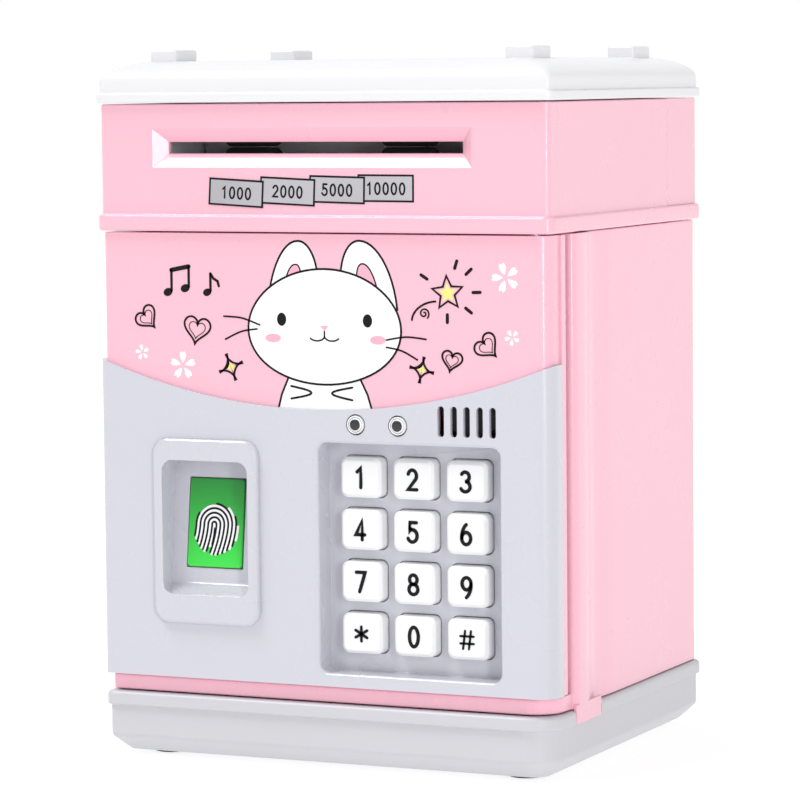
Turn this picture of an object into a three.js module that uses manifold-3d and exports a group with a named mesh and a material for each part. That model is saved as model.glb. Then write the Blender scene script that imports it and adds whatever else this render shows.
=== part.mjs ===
// A toy safe coin bank: a box-shaped body with a hinged keypad door, a head with a bill slot and
// its feed rollers, a domed lid with a coin slot, and a battery base on rubber feet.
// Millimetres, +Z up. The door faces -Y and swings on the +X side. The origin is on the floor,
// under the middle of the box.
import * as THREE from 'three';
import { mergeVertices } from 'three/addons/utils/BufferGeometryUtils.js';
import Module from 'manifold-3d';

// ---- driving dimensions: the casing ----
const bodyWidth = 130;
const bodyDepth = 108;
const footStand = 1;          // how far the rubber feet stand below the base
const baseHeight = 16.6;
const bodyHeight = 124.2;
const headHeight = 33.8;
const wall = 2.4;             // wall of the body and the head
const seam = 0.3;             // gap between two separate mouldings that meet
const bodyInset = 0.4;        // the body is this much narrower than the head, each side

// ---- base ----
const baseRimHeight = 3.9;
const baseRimProud = 1;
const baseChamfer = 4.4;
const baseRadius = 9;         // front corner on the hinge side
const baseSharp = 1.5;        // the other three corners
const baseFloor = 2.8;
const baseWall = 2.6;
const footRadius = 5;
const footDepth = 1.7;        // how deep a foot sits in the base
const footInset = 12.5;       // foot centre from the side of the base
const screwInsetX = 21;
const screwInsetY = 13;

// ---- battery box ----
const cellRadius = 7.25;
const cellLength = 50.5;
const cellPitch = 15.1;
const cellCount = 3;
const batteryShift = 4;       // the box sits this far behind the middle
const contactThick = 0.6;
const contactSpace = 2;       // room between a cell's end and the box wall
const boxWall = 1.2;
const coverThick = 1.5;
const coverLedge = 2;         // the cover is this much larger than the box, each side
const coverGap = 0.35;
const coverAxisInset = 1.5;   // hinge line of the cover, in from its rear edge
const coverTongue = 6;

// ---- door ----
const sillHeight = 4.2;
const sillRadius = 8;         // its corner on the hinge side
const sillLockRadius = 1;
const sillInset = 1.6;        // the sill stands back from the head's face
const bodyRearRadius = 1.2;
const doorGap = 0.4;          // above and below the door
const doorThick = 10.8;
const doorInset = 0.4;        // the door's face stands back from the head's face
const doorSideInset = 0.4;
const doorWall = 2.2;
const doorFrontRadius = 4;    // on the hinge side
const doorLockRadius = 0.8;   // on the lock side
const doorRearRadius = 1.6;
const doorLipDepth = 3.7;     // the lip behind the fascia's skirt
const doorLipProud = 0.7;
const doorBodyGap = 3;        // shadow gap between the door and the body
const hingeInset = 6.2;       // hinge axis, in from the side of the body
const hingeBlock = 11.6;      // solid strip of the door that holds the pins
const pinRadius = 1.5;
const pinLength = 9;
const pinInDoor = 6;
const doorBulge = 11.8;       // how far the rear box of the door reaches into the body
const bulgeSideClear = 9;     // between the rear box and the outside of the body, lock side
const coverSheet = 1.2;

// ---- door fascia and keypad ----
const fasciaProud = 1.3;      // fascia face in front of the door shell
const fasciaThick = 1;
const fasciaArcRadius = 178;
const fasciaArcLow = 73.3;    // lowest point of the fascia's top edge, above the door's bottom
const fasciaArcShift = -1;
const keyColumns = 3;
const keyRows = 4;
const keyWidth = 11.8;
const keyHeight = 10.8;
const keyPitchX = 15.2;
const keyPitchZ = 13.8;
const keyCorner = 1.7;
const keyBevel = 0.7;
const keySunk = 3.2;          // key faces behind the fascia's face
const keyTravel = 1.2;
const keyClear = 0.3;
const keyFlange = 1.1;        // flange past the key's side
const keyFlangeThick = 1;
const recessDepth = 7.5;
const recessMarginLeft = 4.8;
const recessMarginRight = 5;
const recessMarginTop = 3.8;
const recessMarginBottom = 5;
const recessFloor = 1.4;
const recessWall = 1.2;
const recessFromHinge = 14;   // right edge of the recess, in from the side of the body
const recessLow = 3.6;        // bottom edge of the recess, above the door's bottom

// ---- door indicators and loudspeaker ----
const ledRadius = 2.5;
const ledPitch = 12.1;
const ledFromRecess = 11.2;   // first lamp, in from the recess's left edge
const ledAboveRecess = 5.1;
const grilleSlots = 5;
const grillePitch = 3.65;
const grilleSlotWidth = 1.8;
const grilleSlotHeight = 8;
const grilleAboveRecess = 6.6;
const speakerRadius = 9.5;
const speakerThick = 5;

// ---- fingerprint unit ----
const printWidth = 31.3;      // outside of the raised frame
const printHeight = 49.8;
const printFromLeft = 15.5;   // frame's left edge, in from the side of the body
const printFromKeys = 0;      // top of the frame above the top of the key recess
const printProud = 1.7;
const printSide = 2.9;        // frame border at the sides
const printTop = 5.8;
const printBottom = 8;
const printWall = 1.3;
const printRadius = 4.3;      // corners of the raised frame
const openRadius = 3;         // corners of the finger recess
const rampRise = 2.6;         // height of the steep ramp at the recess's lower edge
const printFootDepth = 3.4;   // recess floor behind the fascia's face, at the top of that ramp
const windowSlope = 0.12;     // depth gained per unit of height
const windowAboveRamp = 4.3;
const windowWidth = 16.4;
const windowLength = 23.8;
const windowThick = 2.2;
const windowProud = 0.5;
const windowTravel = 0.8;
const windowFlange = 1;

// ---- lock ----
const boltHeight = 89.5;      // above the door's bottom
const boltWidth = 8;
const boltThick = 5;
const boltLength = 9;
const boltTravel = 4.6;
const boltClear = 0.4;
const solenoidLength = 22;
const solenoidHeight = 14;
const solenoidThick = 9;
const plungerRadius = 1.6;
const catchReach = 4.2;       // catch block, in from the body's inner side wall
const catchDepth = 12.5;
const catchHeight = 16;

// ---- hinge column on the side of the body ----
const columnWidth = 17.4;
const columnProud = 1.7;

// ---- head ----
const beadHeight = 4.2;
const beadProud = 1.1;
const headSplit = 23;         // rear cover of the head, depth from the back
const slotWidth = 85.6;
const slotHeight = 3;
const slotShift = -3;
const slotDrop = 11.7;        // slot centre below the top of the head
const slotBevel = 3.8;
const slotDepth = 3;

// ---- bill feed ----
const rollerRadius = 5;
const rollerWidth = 14;
const rollerSpread = 46;
const rollerBehindSlot = 14;
const nipGap = 0.3;
const shaftRadius = 1.5;
const shaftClear = 0.35;
const cheekThick = 2;
const cheekDepth = 27;
const gearModule = 0.8;
const gearTeeth = 24;
const pinionTeeth = 12;
const gearThick = 3;
const gearSpread = 0.1;       // extra centre distance
const motorLength = 12;
const motorWidth = 12;
const motorHeight = 10;
const chuteShift = 20;        // coin chute, behind the middle

// ---- lid ----
const flangeHeight = 2.5;
const flangeProud = 1.3;
const lidWallHeight = 3;
const lidWallProud = 0.4;
const crownHeight = 5.6;
const crownSlope = 12;
const lidSkin = 2.4;
const coinLength = 32;
const coinWidth = 3.4;
const lugWidth = 8;
const lugDepth = 12.5;
const lugHeight = 3;
const lugInsetX = 13;
const lugInsetY = 18;

// ---- levels and planes worked out from the above ----
const halfW = bodyWidth / 2;
const halfD = bodyDepth / 2;
const baseBottom = footStand;
const baseTop = baseBottom + baseHeight;
const bodyBottom = baseTop + seam;
const bodyTop = bodyBottom + bodyHeight;
const headBottom = bodyTop + seam;
const headTop = headBottom + headHeight;
const lidBottom = headTop + seam;
const bodySide = halfW - bodyInset;
const innerSide = bodySide - wall;

const doorBottom = bodyBottom + sillHeight + doorGap;
const doorTop = headBottom - doorGap;
const doorFront = -halfD + doorInset;
const doorRear = doorFront + doorThick;
const doorLeft = -halfW + doorSideInset;
const doorRight = bodySide;
const hingeX = halfW - hingeInset;
const hingeY = doorFront + doorThick / 2;
const bodyFront = doorRear + doorBodyGap;
const doorHollowRight = doorRight - hingeBlock;
const fasciaFront = doorFront - fasciaProud;
const bulgeRear = doorRear + doorBulge;
const bulgeLeft = -halfW + bulgeSideClear;

// ---------------------------------------------------------------- solids
const wasm = await Module();
wasm.setup();

function toSolid(geometry) {
  const bare = geometry.clone();
  bare.deleteAttribute('normal');
  bare.deleteAttribute('uv');
  const merged = mergeVertices(bare, 1e-4);
  return new wasm.Manifold(new wasm.Mesh({
    numProp: 3,
    vertProperties: new Float32Array(merged.attributes.position.array),
    triVerts: new Uint32Array(merged.index.array),
  }));
}

function toGeometry(solid) {
  const mesh = solid.getMesh();
  const geometry = new THREE.BufferGeometry();
  geometry.setAttribute('position', new THREE.BufferAttribute(mesh.vertProperties, 3));
  geometry.setIndex(new THREE.BufferAttribute(mesh.triVerts, 1));
  geometry.computeVertexNormals();
  return geometry;
}

function join(first, ...others) {
  return toGeometry(others.reduce((sum, other) => sum.add(toSolid(other)), toSolid(first)));
}

function cut(first, ...tools) {
  return toGeometry(tools.reduce((rest, tool) => rest.subtract(toSolid(tool)), toSolid(first)));
}

function keep(first, other) {
  return toGeometry(toSolid(first).intersect(toSolid(other)));
}

// A box between two corners.
function block(x0, x1, y0, y1, z0, z1) {
  const geometry = new THREE.BoxGeometry(x1 - x0, y1 - y0, z1 - z0);
  return geometry.translate((x0 + x1) / 2, (y0 + y1) / 2, (z0 + z1) / 2);
}

// A rectangle with its own radius at each corner, in the order low-left, low-right, top-right, top-left.
function outline(x0, x1, y0, y1, radii) {
  const [a, b, c, d] = Array.isArray(radii) ? radii : [radii, radii, radii, radii];
  const shape = new THREE.Shape();
  shape.moveTo(x0 + a, y0);
  shape.lineTo(x1 - b, y0);
  shape.absarc(x1 - b, y0 + b, b, -Math.PI / 2, 0);
  shape.lineTo(x1, y1 - c);
  shape.absarc(x1 - c, y1 - c, c, 0, Math.PI / 2);
  shape.lineTo(x0 + d, y1);
  shape.absarc(x0 + d, y1 - d, d, Math.PI / 2, Math.PI);
  shape.lineTo(x0, y0 + a);
  shape.absarc(x0 + a, y0 + a, a, Math.PI, Math.PI * 1.5);
  return shape;
}

function extrude(shape, depth, options = {}) {
  return new THREE.ExtrudeGeometry(shape, { depth, bevelEnabled: false, curveSegments: 4, ...options });
}

// A plan shape (x, y) raised from z0 to z1.
function raise(shape, z0, z1, curveSegments = 4) {
  return extrude(shape, z1 - z0, { curveSegments }).translate(0, 0, z0);
}

// A front-view shape (x, z) from y0 back to y1.
function sinkIn(shape, y0, y1, curveSegments = 4) {
  return extrude(shape, y1 - y0, { curveSegments }).rotateX(Math.PI / 2).translate(0, y1, 0);
}

// A side-view shape (y, z) from x0 across to x1.
function across(shape, x0, x1, curveSegments = 4) {
  const turn = new THREE.Matrix4().makeBasis(
    new THREE.Vector3(0, 1, 0), new THREE.Vector3(0, 0, 1), new THREE.Vector3(1, 0, 0));
  return extrude(shape, x1 - x0, { curveSegments }).applyMatrix4(turn).translate(x0, 0, 0);
}

function polygon(points) {
  return new THREE.Shape(points.map(([x, y]) => new THREE.Vector2(x, y)));
}

// A round rod along X, Y or Z, from one end to the other.
function rod(axis, radius, from, to, u, v, segments = 16) {
  const geometry = new THREE.CylinderGeometry(radius, radius, to - from, segments);
  const middle = (from + to) / 2;
  if (axis === 'x') return geometry.rotateZ(Math.PI / 2).translate(middle, u, v);
  if (axis === 'y') return geometry.translate(u, middle, v);
  return geometry.rotateX(Math.PI / 2).translate(u, v, middle);
}

// ---------------------------------------------------------------- colours
function plastic(color, roughness) {
  return new THREE.MeshStandardMaterial({ color, roughness, metalness: 0 });
}

function metal(color, roughness) {
  return new THREE.MeshStandardMaterial({ color, roughness, metalness: 1 });
}

const pink = plastic(0xf9c3d3, 0.35);
const white = plastic(0xe9e9f0, 0.35);
const lavender = plastic(0xd9d8e3, 0.45);
const keyWhite = plastic(0xf4f4f6, 0.4);
const darkPlastic = plastic(0x2a2a2e, 0.6);
const innerPlastic = plastic(0xf0eef2, 0.55);
const gearPlastic = plastic(0xf3efe2, 0.5);
const rubber = plastic(0x303030, 0.9);
const boardGreen = plastic(0x1e7a46, 0.5);
const glowGreen = plastic(0x2ecb4e, 0.2);
const steel = metal(0xc4c6c8, 0.35);
const cellSkin = plastic(0x35383f, 0.35);

const safe = new THREE.Group();

function place(name, geometry, material, group = safe) {
  const mesh = new THREE.Mesh(geometry, material);
  mesh.name = name;
  group.add(mesh);
  return mesh;
}

// ---------------------------------------------------------------- base
const boxHalfX = cellLength / 2 + contactSpace;
const boxHalfY = (cellCount * cellPitch) / 2;
const coverHalfX = boxHalfX + coverLedge;
const coverHalfY = boxHalfY + coverLedge;
const boxY = batteryShift;
const coverTop = baseBottom + coverThick;
const screwX = halfW - screwInsetX;
const screwY = halfD - screwInsetY;
const coverScrewY = boxY - coverHalfY - coverTongue / 2;

function corners(x, y) {
  return [
    { name: 'front_left', x: -x, y: -y }, { name: 'front_right', x, y: -y },
    { name: 'rear_left', x: -x, y }, { name: 'rear_right', x, y },
  ];
}

function basePlinth() {
  const floorTop = baseBottom + baseFloor;
  const radii = (amount) => [baseSharp, baseRadius, baseSharp, baseSharp]
    .map((r) => Math.max(r + amount, 0));
  const low = outline(-halfW + baseChamfer, halfW - baseChamfer, -halfD + baseChamfer,
    halfD - baseChamfer, radii(-baseChamfer));
  const chamfered = extrude(low, baseHeight / 2, {
    bevelEnabled: true, bevelThickness: baseChamfer, bevelSize: baseChamfer, bevelSegments: 1,
  }).translate(0, 0, baseBottom + baseChamfer);
  const upright = raise(outline(-halfW, halfW, -halfD, halfD, radii(0)),
    baseBottom + baseHeight / 2, baseTop);
  const trim = raise(outline(-halfW, halfW, -halfD, halfD,
    [baseSharp, baseRadius / 2, baseSharp, baseSharp]), baseBottom - 1, baseTop + 1);
  const rimSide = halfW + baseRimProud;
  const rimDepth = halfD + baseRimProud;
  const rim = raise(outline(-rimSide, rimSide, -rimDepth, rimDepth, radii(baseRimProud)),
    baseTop - baseRimHeight, baseTop);
  const hollow = raise(outline(-halfW + baseWall, halfW - baseWall, -halfD + baseWall,
    halfD - baseWall, radii(-baseWall)), floorTop + 1.6, baseTop + 1);
  const underside = raise(outline(-halfW + baseWall + 3, halfW - baseWall - 3, -halfD + baseWall + 3,
    halfD - baseWall - 3, radii(-baseWall)), floorTop, floorTop + 2);
  const towerTop = baseTop - seam;
  const boxOuter = block(-boxHalfX - boxWall, boxHalfX + boxWall, boxY - boxHalfY - boxWall,
    boxY + boxHalfY + boxWall, baseBottom + 1, towerTop);
  const towers = corners(screwX, screwY).map(({ x, y }) => rod('z', 3.8, baseBottom + 1, towerTop, x, y, 12));
  const coverBoss = rod('z', 3, baseBottom + 1, baseBottom + 9, 0, coverScrewY);
  const shell = cut(join(keep(join(chamfered, upright), trim), rim), hollow, underside);
  const filled = join(shell, boxOuter, coverBoss, ...towers);

  const boxInner = block(-boxHalfX, boxHalfX, boxY - boxHalfY, boxY + boxHalfY, 0, baseTop + 1);
  const coverSeat = block(-coverHalfX - coverGap, coverHalfX + coverGap, boxY - coverHalfY - coverGap,
    boxY + coverHalfY + coverGap, 0, coverTop + 0.2);
  const coverRoll = block(-coverHalfX - coverGap, coverHalfX + coverGap,
    boxY + coverHalfY - 2 * coverAxisInset - 1, boxY + coverHalfY + coverGap, 0, coverTop + 1.6);
  const tongueSeat = block(-coverTongue - coverGap, coverTongue + coverGap,
    boxY - coverHalfY - coverTongue - coverGap, boxY - coverHalfY, 0, coverTop + 0.2);
  const feet = corners(halfW - footInset, halfD - footInset).map(({ x, y }) =>
    rod('z', footRadius + seam, 0, baseBottom + footDepth + seam, x, y, 20));
  const screwHoles = corners(screwX, screwY).flatMap(({ x, y }) => [
    rod('z', 1.55, 0, baseTop + 1, x, y, 8), rod('z', 2.9, 0, baseBottom + 3.2, x, y, 12)]);
  const columnNotch = block(halfW - 0.1, halfW + 4, bodyFront - seam, bodyFront + columnWidth + seam,
    baseTop - baseRimHeight, baseTop + 1);
  return cut(filled, boxInner, coverSeat, coverRoll, tongueSeat, columnNotch,
    rod('z', 1.35, 0, baseBottom + 8, 0, coverScrewY, 12), ...feet, ...screwHoles);
}

place('base_plinth', basePlinth(), lavender);

for (const { name, x, y } of corners(halfW - footInset, halfD - footInset)) {
  place(`rubber_foot_${name}`, rod('z', footRadius, 0, baseBottom + footDepth, x, y, 20), rubber);
}

for (const { name, x, y } of corners(screwX, screwY)) {
  const head = rod('z', 2.5, baseBottom + 1.4, baseBottom + 2.9, x, y, 12);
  const shank = rod('z', 1.2, baseBottom + 2.5, bodyBottom + wall - 0.4, x, y, 8);
  place(`base_screw_${name}`, join(head, shank), steel);
}

// ---------------------------------------------------------------- batteries and their cover
const cellBase = coverTop + 0.4;
for (let i = 0; i < cellCount; i += 1) {
  const y = boxY + (i - (cellCount - 1) / 2) * cellPitch;
  const z = cellBase + cellRadius;
  const nub = 1;
  const can = rod('x', cellRadius, -cellLength / 2, cellLength / 2 - nub, y, z, 24);
  const tip = rod('x', 2.6, cellLength / 2 - nub - 1, cellLength / 2, y, z, 12);
  const cell = join(can, tip);
  if (i % 2 === 1) cell.translate(0, -y, 0).rotateZ(Math.PI).translate(0, y, 0);
  place(`battery_${i + 1}`, cell, cellSkin);
}

for (const [side, sign] of [['left', -1], ['right', 1]]) {
  const inner = sign * (cellLength / 2 + contactSpace - seam - contactThick);
  const outer = sign * (cellLength / 2 + contactSpace - seam);
  place(`battery_contact_${side}`, block(Math.min(inner, outer), Math.max(inner, outer),
    boxY - boxHalfY + 1.5, boxY + boxHalfY - 1.5, cellBase + 1.5, cellBase + 12), steel);
}

const batteryCover = join(
  block(-coverHalfX, coverHalfX, boxY - coverHalfY, boxY + coverHalfY, baseBottom, coverTop),
  block(-coverTongue, coverTongue, boxY - coverHalfY - coverTongue, boxY - coverHalfY + 1,
    baseBottom, coverTop));
place('battery_cover', cut(batteryCover,
  rod('z', 1.35, 0, coverTop + 1, 0, coverScrewY, 12),
  rod('z', 2.5, 0, baseBottom + 0.8, 0, coverScrewY)), lavender);
place('battery_cover_screw', join(
  rod('z', 2.1, baseBottom - 0.2, baseBottom + 0.5, 0, coverScrewY),
  rod('z', 1, baseBottom + 0.3, baseBottom + 7, 0, coverScrewY, 12)), steel);

// ---------------------------------------------------------------- body
const boltZ = doorBottom + boltHeight;
const boltY = bulgeRear - coverSheet - 0.8 - boltThick / 2;

function bodyShell() {
  const columnMiddle = bodyFront + columnWidth / 2;
  const sill = raise(outline(-bodySide, bodySide, -halfD + sillInset, bodyFront + 4,
    [sillLockRadius, sillRadius, 0.5, 0.5]),
    bodyBottom, bodyBottom + sillHeight);
  const box = raise(outline(-bodySide, bodySide, bodyFront, halfD - bodyInset,
    [0.8, 0.8, bodyRearRadius, bodyRearRadius]), bodyBottom, bodyTop);
  const vault = block(-innerSide, innerSide, bodyFront + wall, halfD - bodyInset - wall,
    bodyBottom + wall, bodyTop + 1);
  const mouth = block(-innerSide, innerSide, bodyFront - 1, bodyFront + wall + 1,
    bodyBottom + sillHeight, bodyTop + 1);
  const radius = (columnWidth ** 2 / 4 + columnProud ** 2) / (2 * columnProud);
  const half = Math.asin(columnWidth / 2 / radius);
  const bulge = new THREE.Shape();
  bulge.moveTo(bodySide - 1.5, columnMiddle - columnWidth / 2);
  bulge.lineTo(bodySide, columnMiddle - columnWidth / 2);
  bulge.absarc(bodySide + columnProud - radius, columnMiddle, radius, -half, half);
  bulge.lineTo(bodySide - 1.5, columnMiddle + columnWidth / 2);
  const column = raise(bulge, bodyBottom, bodyTop, 6);
  const columnFoot = keep(raise(bulge, baseTop - baseRimHeight + seam, bodyBottom + 1, 6),
    block(halfW + 0.2, halfW + 9, -halfD, halfD, 0, bodyTop));
  const catchBlock = block(-innerSide - 0.5, -innerSide + catchReach, boltY - boltThick / 2 - 3,
    boltY - boltThick / 2 - 3 + catchDepth, boltZ - catchHeight / 2, boltZ + catchHeight / 2);
  const pocket = block(-innerSide - 0.8, -innerSide + catchReach + 1, boltY - boltThick / 2 - boltClear,
    boltY + boltThick / 2 + boltClear, boltZ - boltWidth / 2 - boltClear, boltZ + boltWidth / 2 + boltClear);
  const holes = corners(screwX, screwY).map(({ x, y }) => rod('z', 1.55, 0, bodyBottom + wall + 1, x, y, 8));
  const hingeHole = rod('z', pinRadius + seam, bodyBottom + sillHeight - 3.4, bodyBottom + sillHeight + 1,
    hingeX, hingeY);
  return cut(join(cut(join(sill, box), vault, mouth), column, columnFoot, catchBlock),
    pocket, hingeHole, ...holes);
}

place('body_shell', bodyShell(), pink);

// ---------------------------------------------------------------- head
const slotZ = headTop - slotDrop;
const slotLeft = slotShift - slotWidth / 2;
const slotRight = slotShift + slotWidth / 2;
const headInnerX = halfW - wall;
const headInnerY = halfD - wall;
const chuteHalfX = coinLength / 2 + 0.8;
const chuteHalfY = coinWidth / 2 + 0.8;
const chuteWall = 1.2;
const headRadius = 1;
const splitY = halfD - headSplit;
const beadTop = headBottom + beadHeight;
const rollerY = -halfD + rollerBehindSlot;

function headShell() {
  const bead = raise(outline(-halfW - beadProud, halfW + beadProud, -halfD - beadProud, halfD + beadProud,
    headRadius + beadProud), headBottom, beadTop);
  const walls = raise(outline(-halfW, halfW, -halfD, halfD, headRadius), headBottom, headTop);
  const hollow = block(-headInnerX, headInnerX, -headInnerY, headInnerY, headBottom + wall, headTop + 1);
  const forRear = block(-halfW - 1, halfW + 1, splitY, halfD + 1, beadTop, headTop + 1);
  const funnelBack = -halfD + slotDepth + 1.2;
  const boss = block(slotLeft - slotBevel - 1, slotRight + slotBevel + 1, -headInnerY - 0.5, funnelBack,
    slotZ - slotHeight / 2 - slotBevel - 1.5, slotZ + slotHeight / 2 + slotBevel + 1.5);
  const slot = outline(slotLeft, slotRight, slotZ - slotHeight / 2, slotZ + slotHeight / 2, 0.4);
  const through = sinkIn(slot, -halfD - 1, funnelBack + 1, 2);
  const funnel = extrude(slot, 1, {
    bevelEnabled: true, bevelThickness: slotDepth, bevelSize: slotBevel, bevelSegments: 1, curveSegments: 2,
  }).rotateX(Math.PI / 2).translate(0, -halfD, 0);
  const funnelInside = keep(funnel,
    block(-halfW, halfW, -halfD - 0.5, -halfD + slotDepth, headBottom, headTop));
  const billDrop = block(slotLeft - 1, slotRight + 1, rollerY - 1, rollerY + 24, headBottom - 1,
    headBottom + wall + 1);
  const coinDrop = block(-chuteHalfX, chuteHalfX, chuteShift - chuteHalfY, chuteShift + chuteHalfY,
    headBottom - 1, headBottom + wall + 1);
  const hingeHole = rod('z', pinRadius + seam, headBottom - 1, headBottom + 3.4, hingeX, hingeY);
  const hingeBoss = rod('z', pinRadius + 2.2, headBottom + 1, headBottom + 5, hingeX, hingeY);
  return cut(join(cut(join(bead, walls), hollow, forRear), boss, hingeBoss),
    through, funnelInside, billDrop, coinDrop, hingeHole);
}

place('head_shell', headShell(), pink);

function headRearCover() {
  const outer = raise(outline(-halfW, halfW, -halfD, halfD, headRadius), beadTop + seam, headTop);
  const hollow = block(-headInnerX, headInnerX, -headInnerY, headInnerY, beadTop - 1, headTop + 1);
  const front = block(-halfW - 1, halfW + 1, -halfD - 1, splitY + seam, beadTop - 1, headTop + 1);
  return cut(outer, hollow, front);
}

place('head_rear_cover', headRearCover(), pink);

// ---------------------------------------------------------------- lid
function topLid() {
  const flangeTop = lidBottom + flangeHeight;
  const rimTop = flangeTop + lidWallHeight;
  const crownTop = rimTop + crownHeight;
  const grow = (amount) => outline(-halfW - amount, halfW + amount, -halfD - amount, halfD + amount,
    headRadius + amount);
  const flange = raise(grow(flangeProud), lidBottom, flangeTop);
  const rimWall = raise(grow(lidWallProud), lidBottom, rimTop);
  const flatX = halfW + lidWallProud - crownSlope;
  const flatY = halfD + lidWallProud - crownSlope;
  const crown = extrude(outline(-flatX, flatX, -flatY, flatY, 2), 0.4, {
    bevelEnabled: true, bevelThickness: crownHeight - 0.2, bevelSize: crownSlope, bevelSegments: 4,
    curveSegments: 3,
  }).translate(0, 0, rimTop);
  const crownUp = keep(crown, block(-halfW - 5, halfW + 5, -halfD - 5, halfD + 5, rimTop - 1, crownTop + 1));
  const lugs = corners(halfW - lugInsetX, halfD - lugInsetY).map(({ x, y }) =>
    block(x - lugWidth / 2, x + lugWidth / 2, y - lugDepth / 2, y + lugDepth / 2,
      rimTop + 1, crownTop + lugHeight));
  const low = block(-halfW + lidSkin, halfW - lidSkin, -halfD + lidSkin, halfD - lidSkin,
    lidBottom - 1, rimTop - 1.4);
  const high = block(-flatX, flatX, -flatY, flatY, lidBottom, crownTop - lidSkin);
  const coinSlot = block(-coinLength / 2, coinLength / 2, chuteShift - coinWidth / 2,
    chuteShift + coinWidth / 2, lidBottom, crownTop + 5);
  return cut(join(flange, rimWall, crownUp, ...lugs), low, high, coinSlot);
}

place('top_lid', topLid(), white);

const chuteTop = lidBottom + flangeHeight + lidWallHeight + crownHeight - lidSkin - 0.5;
place('coin_chute', cut(
  block(-chuteHalfX - chuteWall, chuteHalfX + chuteWall, chuteShift - chuteHalfY - chuteWall,
    chuteShift + chuteHalfY + chuteWall, headBottom + wall + seam, chuteTop),
  block(-chuteHalfX, chuteHalfX, chuteShift - chuteHalfY, chuteShift + chuteHalfY, headBottom, chuteTop + 1)),
innerPlastic);

// ---------------------------------------------------------------- bill feed
const driveZ = slotZ - rollerRadius - nipGap / 2;
const idlerZ = slotZ + rollerRadius + nipGap / 2;
const cheekLeft = slotLeft - 2.2;
const cheekRight = slotRight + 2.2;
const gearLeft = cheekRight + cheekThick + 1.2;
const gearRight = gearLeft + gearThick;
const centreDistance = (gearModule * (gearTeeth + pinionTeeth)) / 2 + gearSpread;
const pinionY = rollerY + centreDistance;
const motorLeft = gearRight + 1.6;

function mechanismFrame() {
  const front = -halfD + slotDepth + 1.7;
  const rear = front + cheekDepth;
  const low = headBottom + wall + seam;
  const cheek = (x0) => block(x0, x0 + cheekThick, front, rear, low, idlerZ + 4.4);
  const bar = (y, z) => rod('x', 1.8, cheekLeft - 1, cheekRight + 1, y, z, 10);
  const shelfZ = driveZ - motorHeight / 2 - seam;
  const motorRight = motorLeft + motorLength;
  const plateY = pinionY + motorWidth / 2 + seam;
  const plate = block(cheekRight + 0.5, motorRight, plateY, plateY + 1.6, shelfZ - 2, driveZ + 5);
  const shelf = block(motorLeft, motorRight, pinionY - 5.5, plateY + 1, shelfZ - 2, shelfZ);
  const link = block(cheekRight, cheekRight + cheekThick, rear - 1, plateY + 1.6, shelfZ - 2, driveZ + 5);
  const holes = [driveZ, idlerZ].map((z) =>
    rod('x', shaftRadius + shaftClear, cheekLeft - 5, cheekRight + 5, rollerY, z));
  return cut(join(cheek(cheekLeft - cheekThick), cheek(cheekRight), bar(rear - 1.2, low + 3),
    bar(front + 3, low + 3), bar(rear - 1.2, idlerZ + 1), plate, shelf, link), ...holes);
}

place('mechanism_frame', mechanismFrame(), innerPlastic);

place('drive_shaft', rod('x', shaftRadius, cheekLeft - cheekThick - 1.5, gearRight + 1,
  rollerY, driveZ), steel);
place('idler_shaft', rod('x', shaftRadius, cheekLeft - cheekThick - 1.5, cheekRight + cheekThick + 0.4,
  rollerY, idlerZ), steel);
for (const [side, sign] of [['left', -1], ['right', 1]]) {
  const middle = slotShift + (sign * rollerSpread) / 2;
  for (const [kind, z] of [['drive', driveZ], ['idler', idlerZ]]) {
    const tyre = rod('x', rollerRadius, middle - rollerWidth / 2, middle + rollerWidth / 2, rollerY, z, 24);
    const bore = rod('x', shaftRadius + seam, -halfW, halfW, rollerY, z);
    place(`${kind}_roller_${side}`, cut(tyre, bore), rubber);
  }
}

// An involute gear's outline, with backlash and short tips so that a pair turns freely.
function gearShape(teeth, module, firstTooth) {
  const pressure = (25 * Math.PI) / 180;
  const pitch = (module * teeth) / 2;
  const base = pitch * Math.cos(pressure);
  const tip = pitch + 0.7 * module;
  const root = pitch - 1.15 * module;
  const involute = (r) => {
    const roll = Math.sqrt(Math.max((r / base) ** 2 - 1, 0));
    return roll - Math.atan(roll);
  };
  const halfTooth = (0.44 * Math.PI) / teeth;
  const radii = [root, base, pitch, tip];
  const points = [];
  for (let i = 0; i < teeth; i += 1) {
    const middle = firstTooth + (i * 2 * Math.PI) / teeth;
    const flank = radii.map((r) => [r, halfTooth + involute(pitch) - involute(r)]);
    for (const [r, a] of flank) points.push([r * Math.cos(middle - a), r * Math.sin(middle - a)]);
    for (const [r, a] of flank.reverse()) points.push([r * Math.cos(middle + a), r * Math.sin(middle + a)]);
  }
  return polygon(points);
}

place('drive_gear', cut(
  across(gearShape(gearTeeth, gearModule, 0), gearLeft, gearRight).translate(0, rollerY, driveZ),
  rod('x', shaftRadius + seam, -halfW, halfW, rollerY, driveZ)), gearPlastic);
place('motor_pinion', join(
  across(gearShape(pinionTeeth, gearModule, Math.PI / pinionTeeth), gearLeft, gearRight)
    .translate(0, pinionY, driveZ),
  rod('x', 2, gearLeft, motorLeft - seam, pinionY, driveZ)), gearPlastic);
place('feed_motor', keep(
  rod('x', motorWidth / 2, motorLeft, motorLeft + motorLength, pinionY, driveZ, 24),
  block(motorLeft - 1, motorLeft + motorLength + 1, pinionY - 9, pinionY + 9,
    driveZ - motorHeight / 2, driveZ + motorHeight / 2)), steel);

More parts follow.
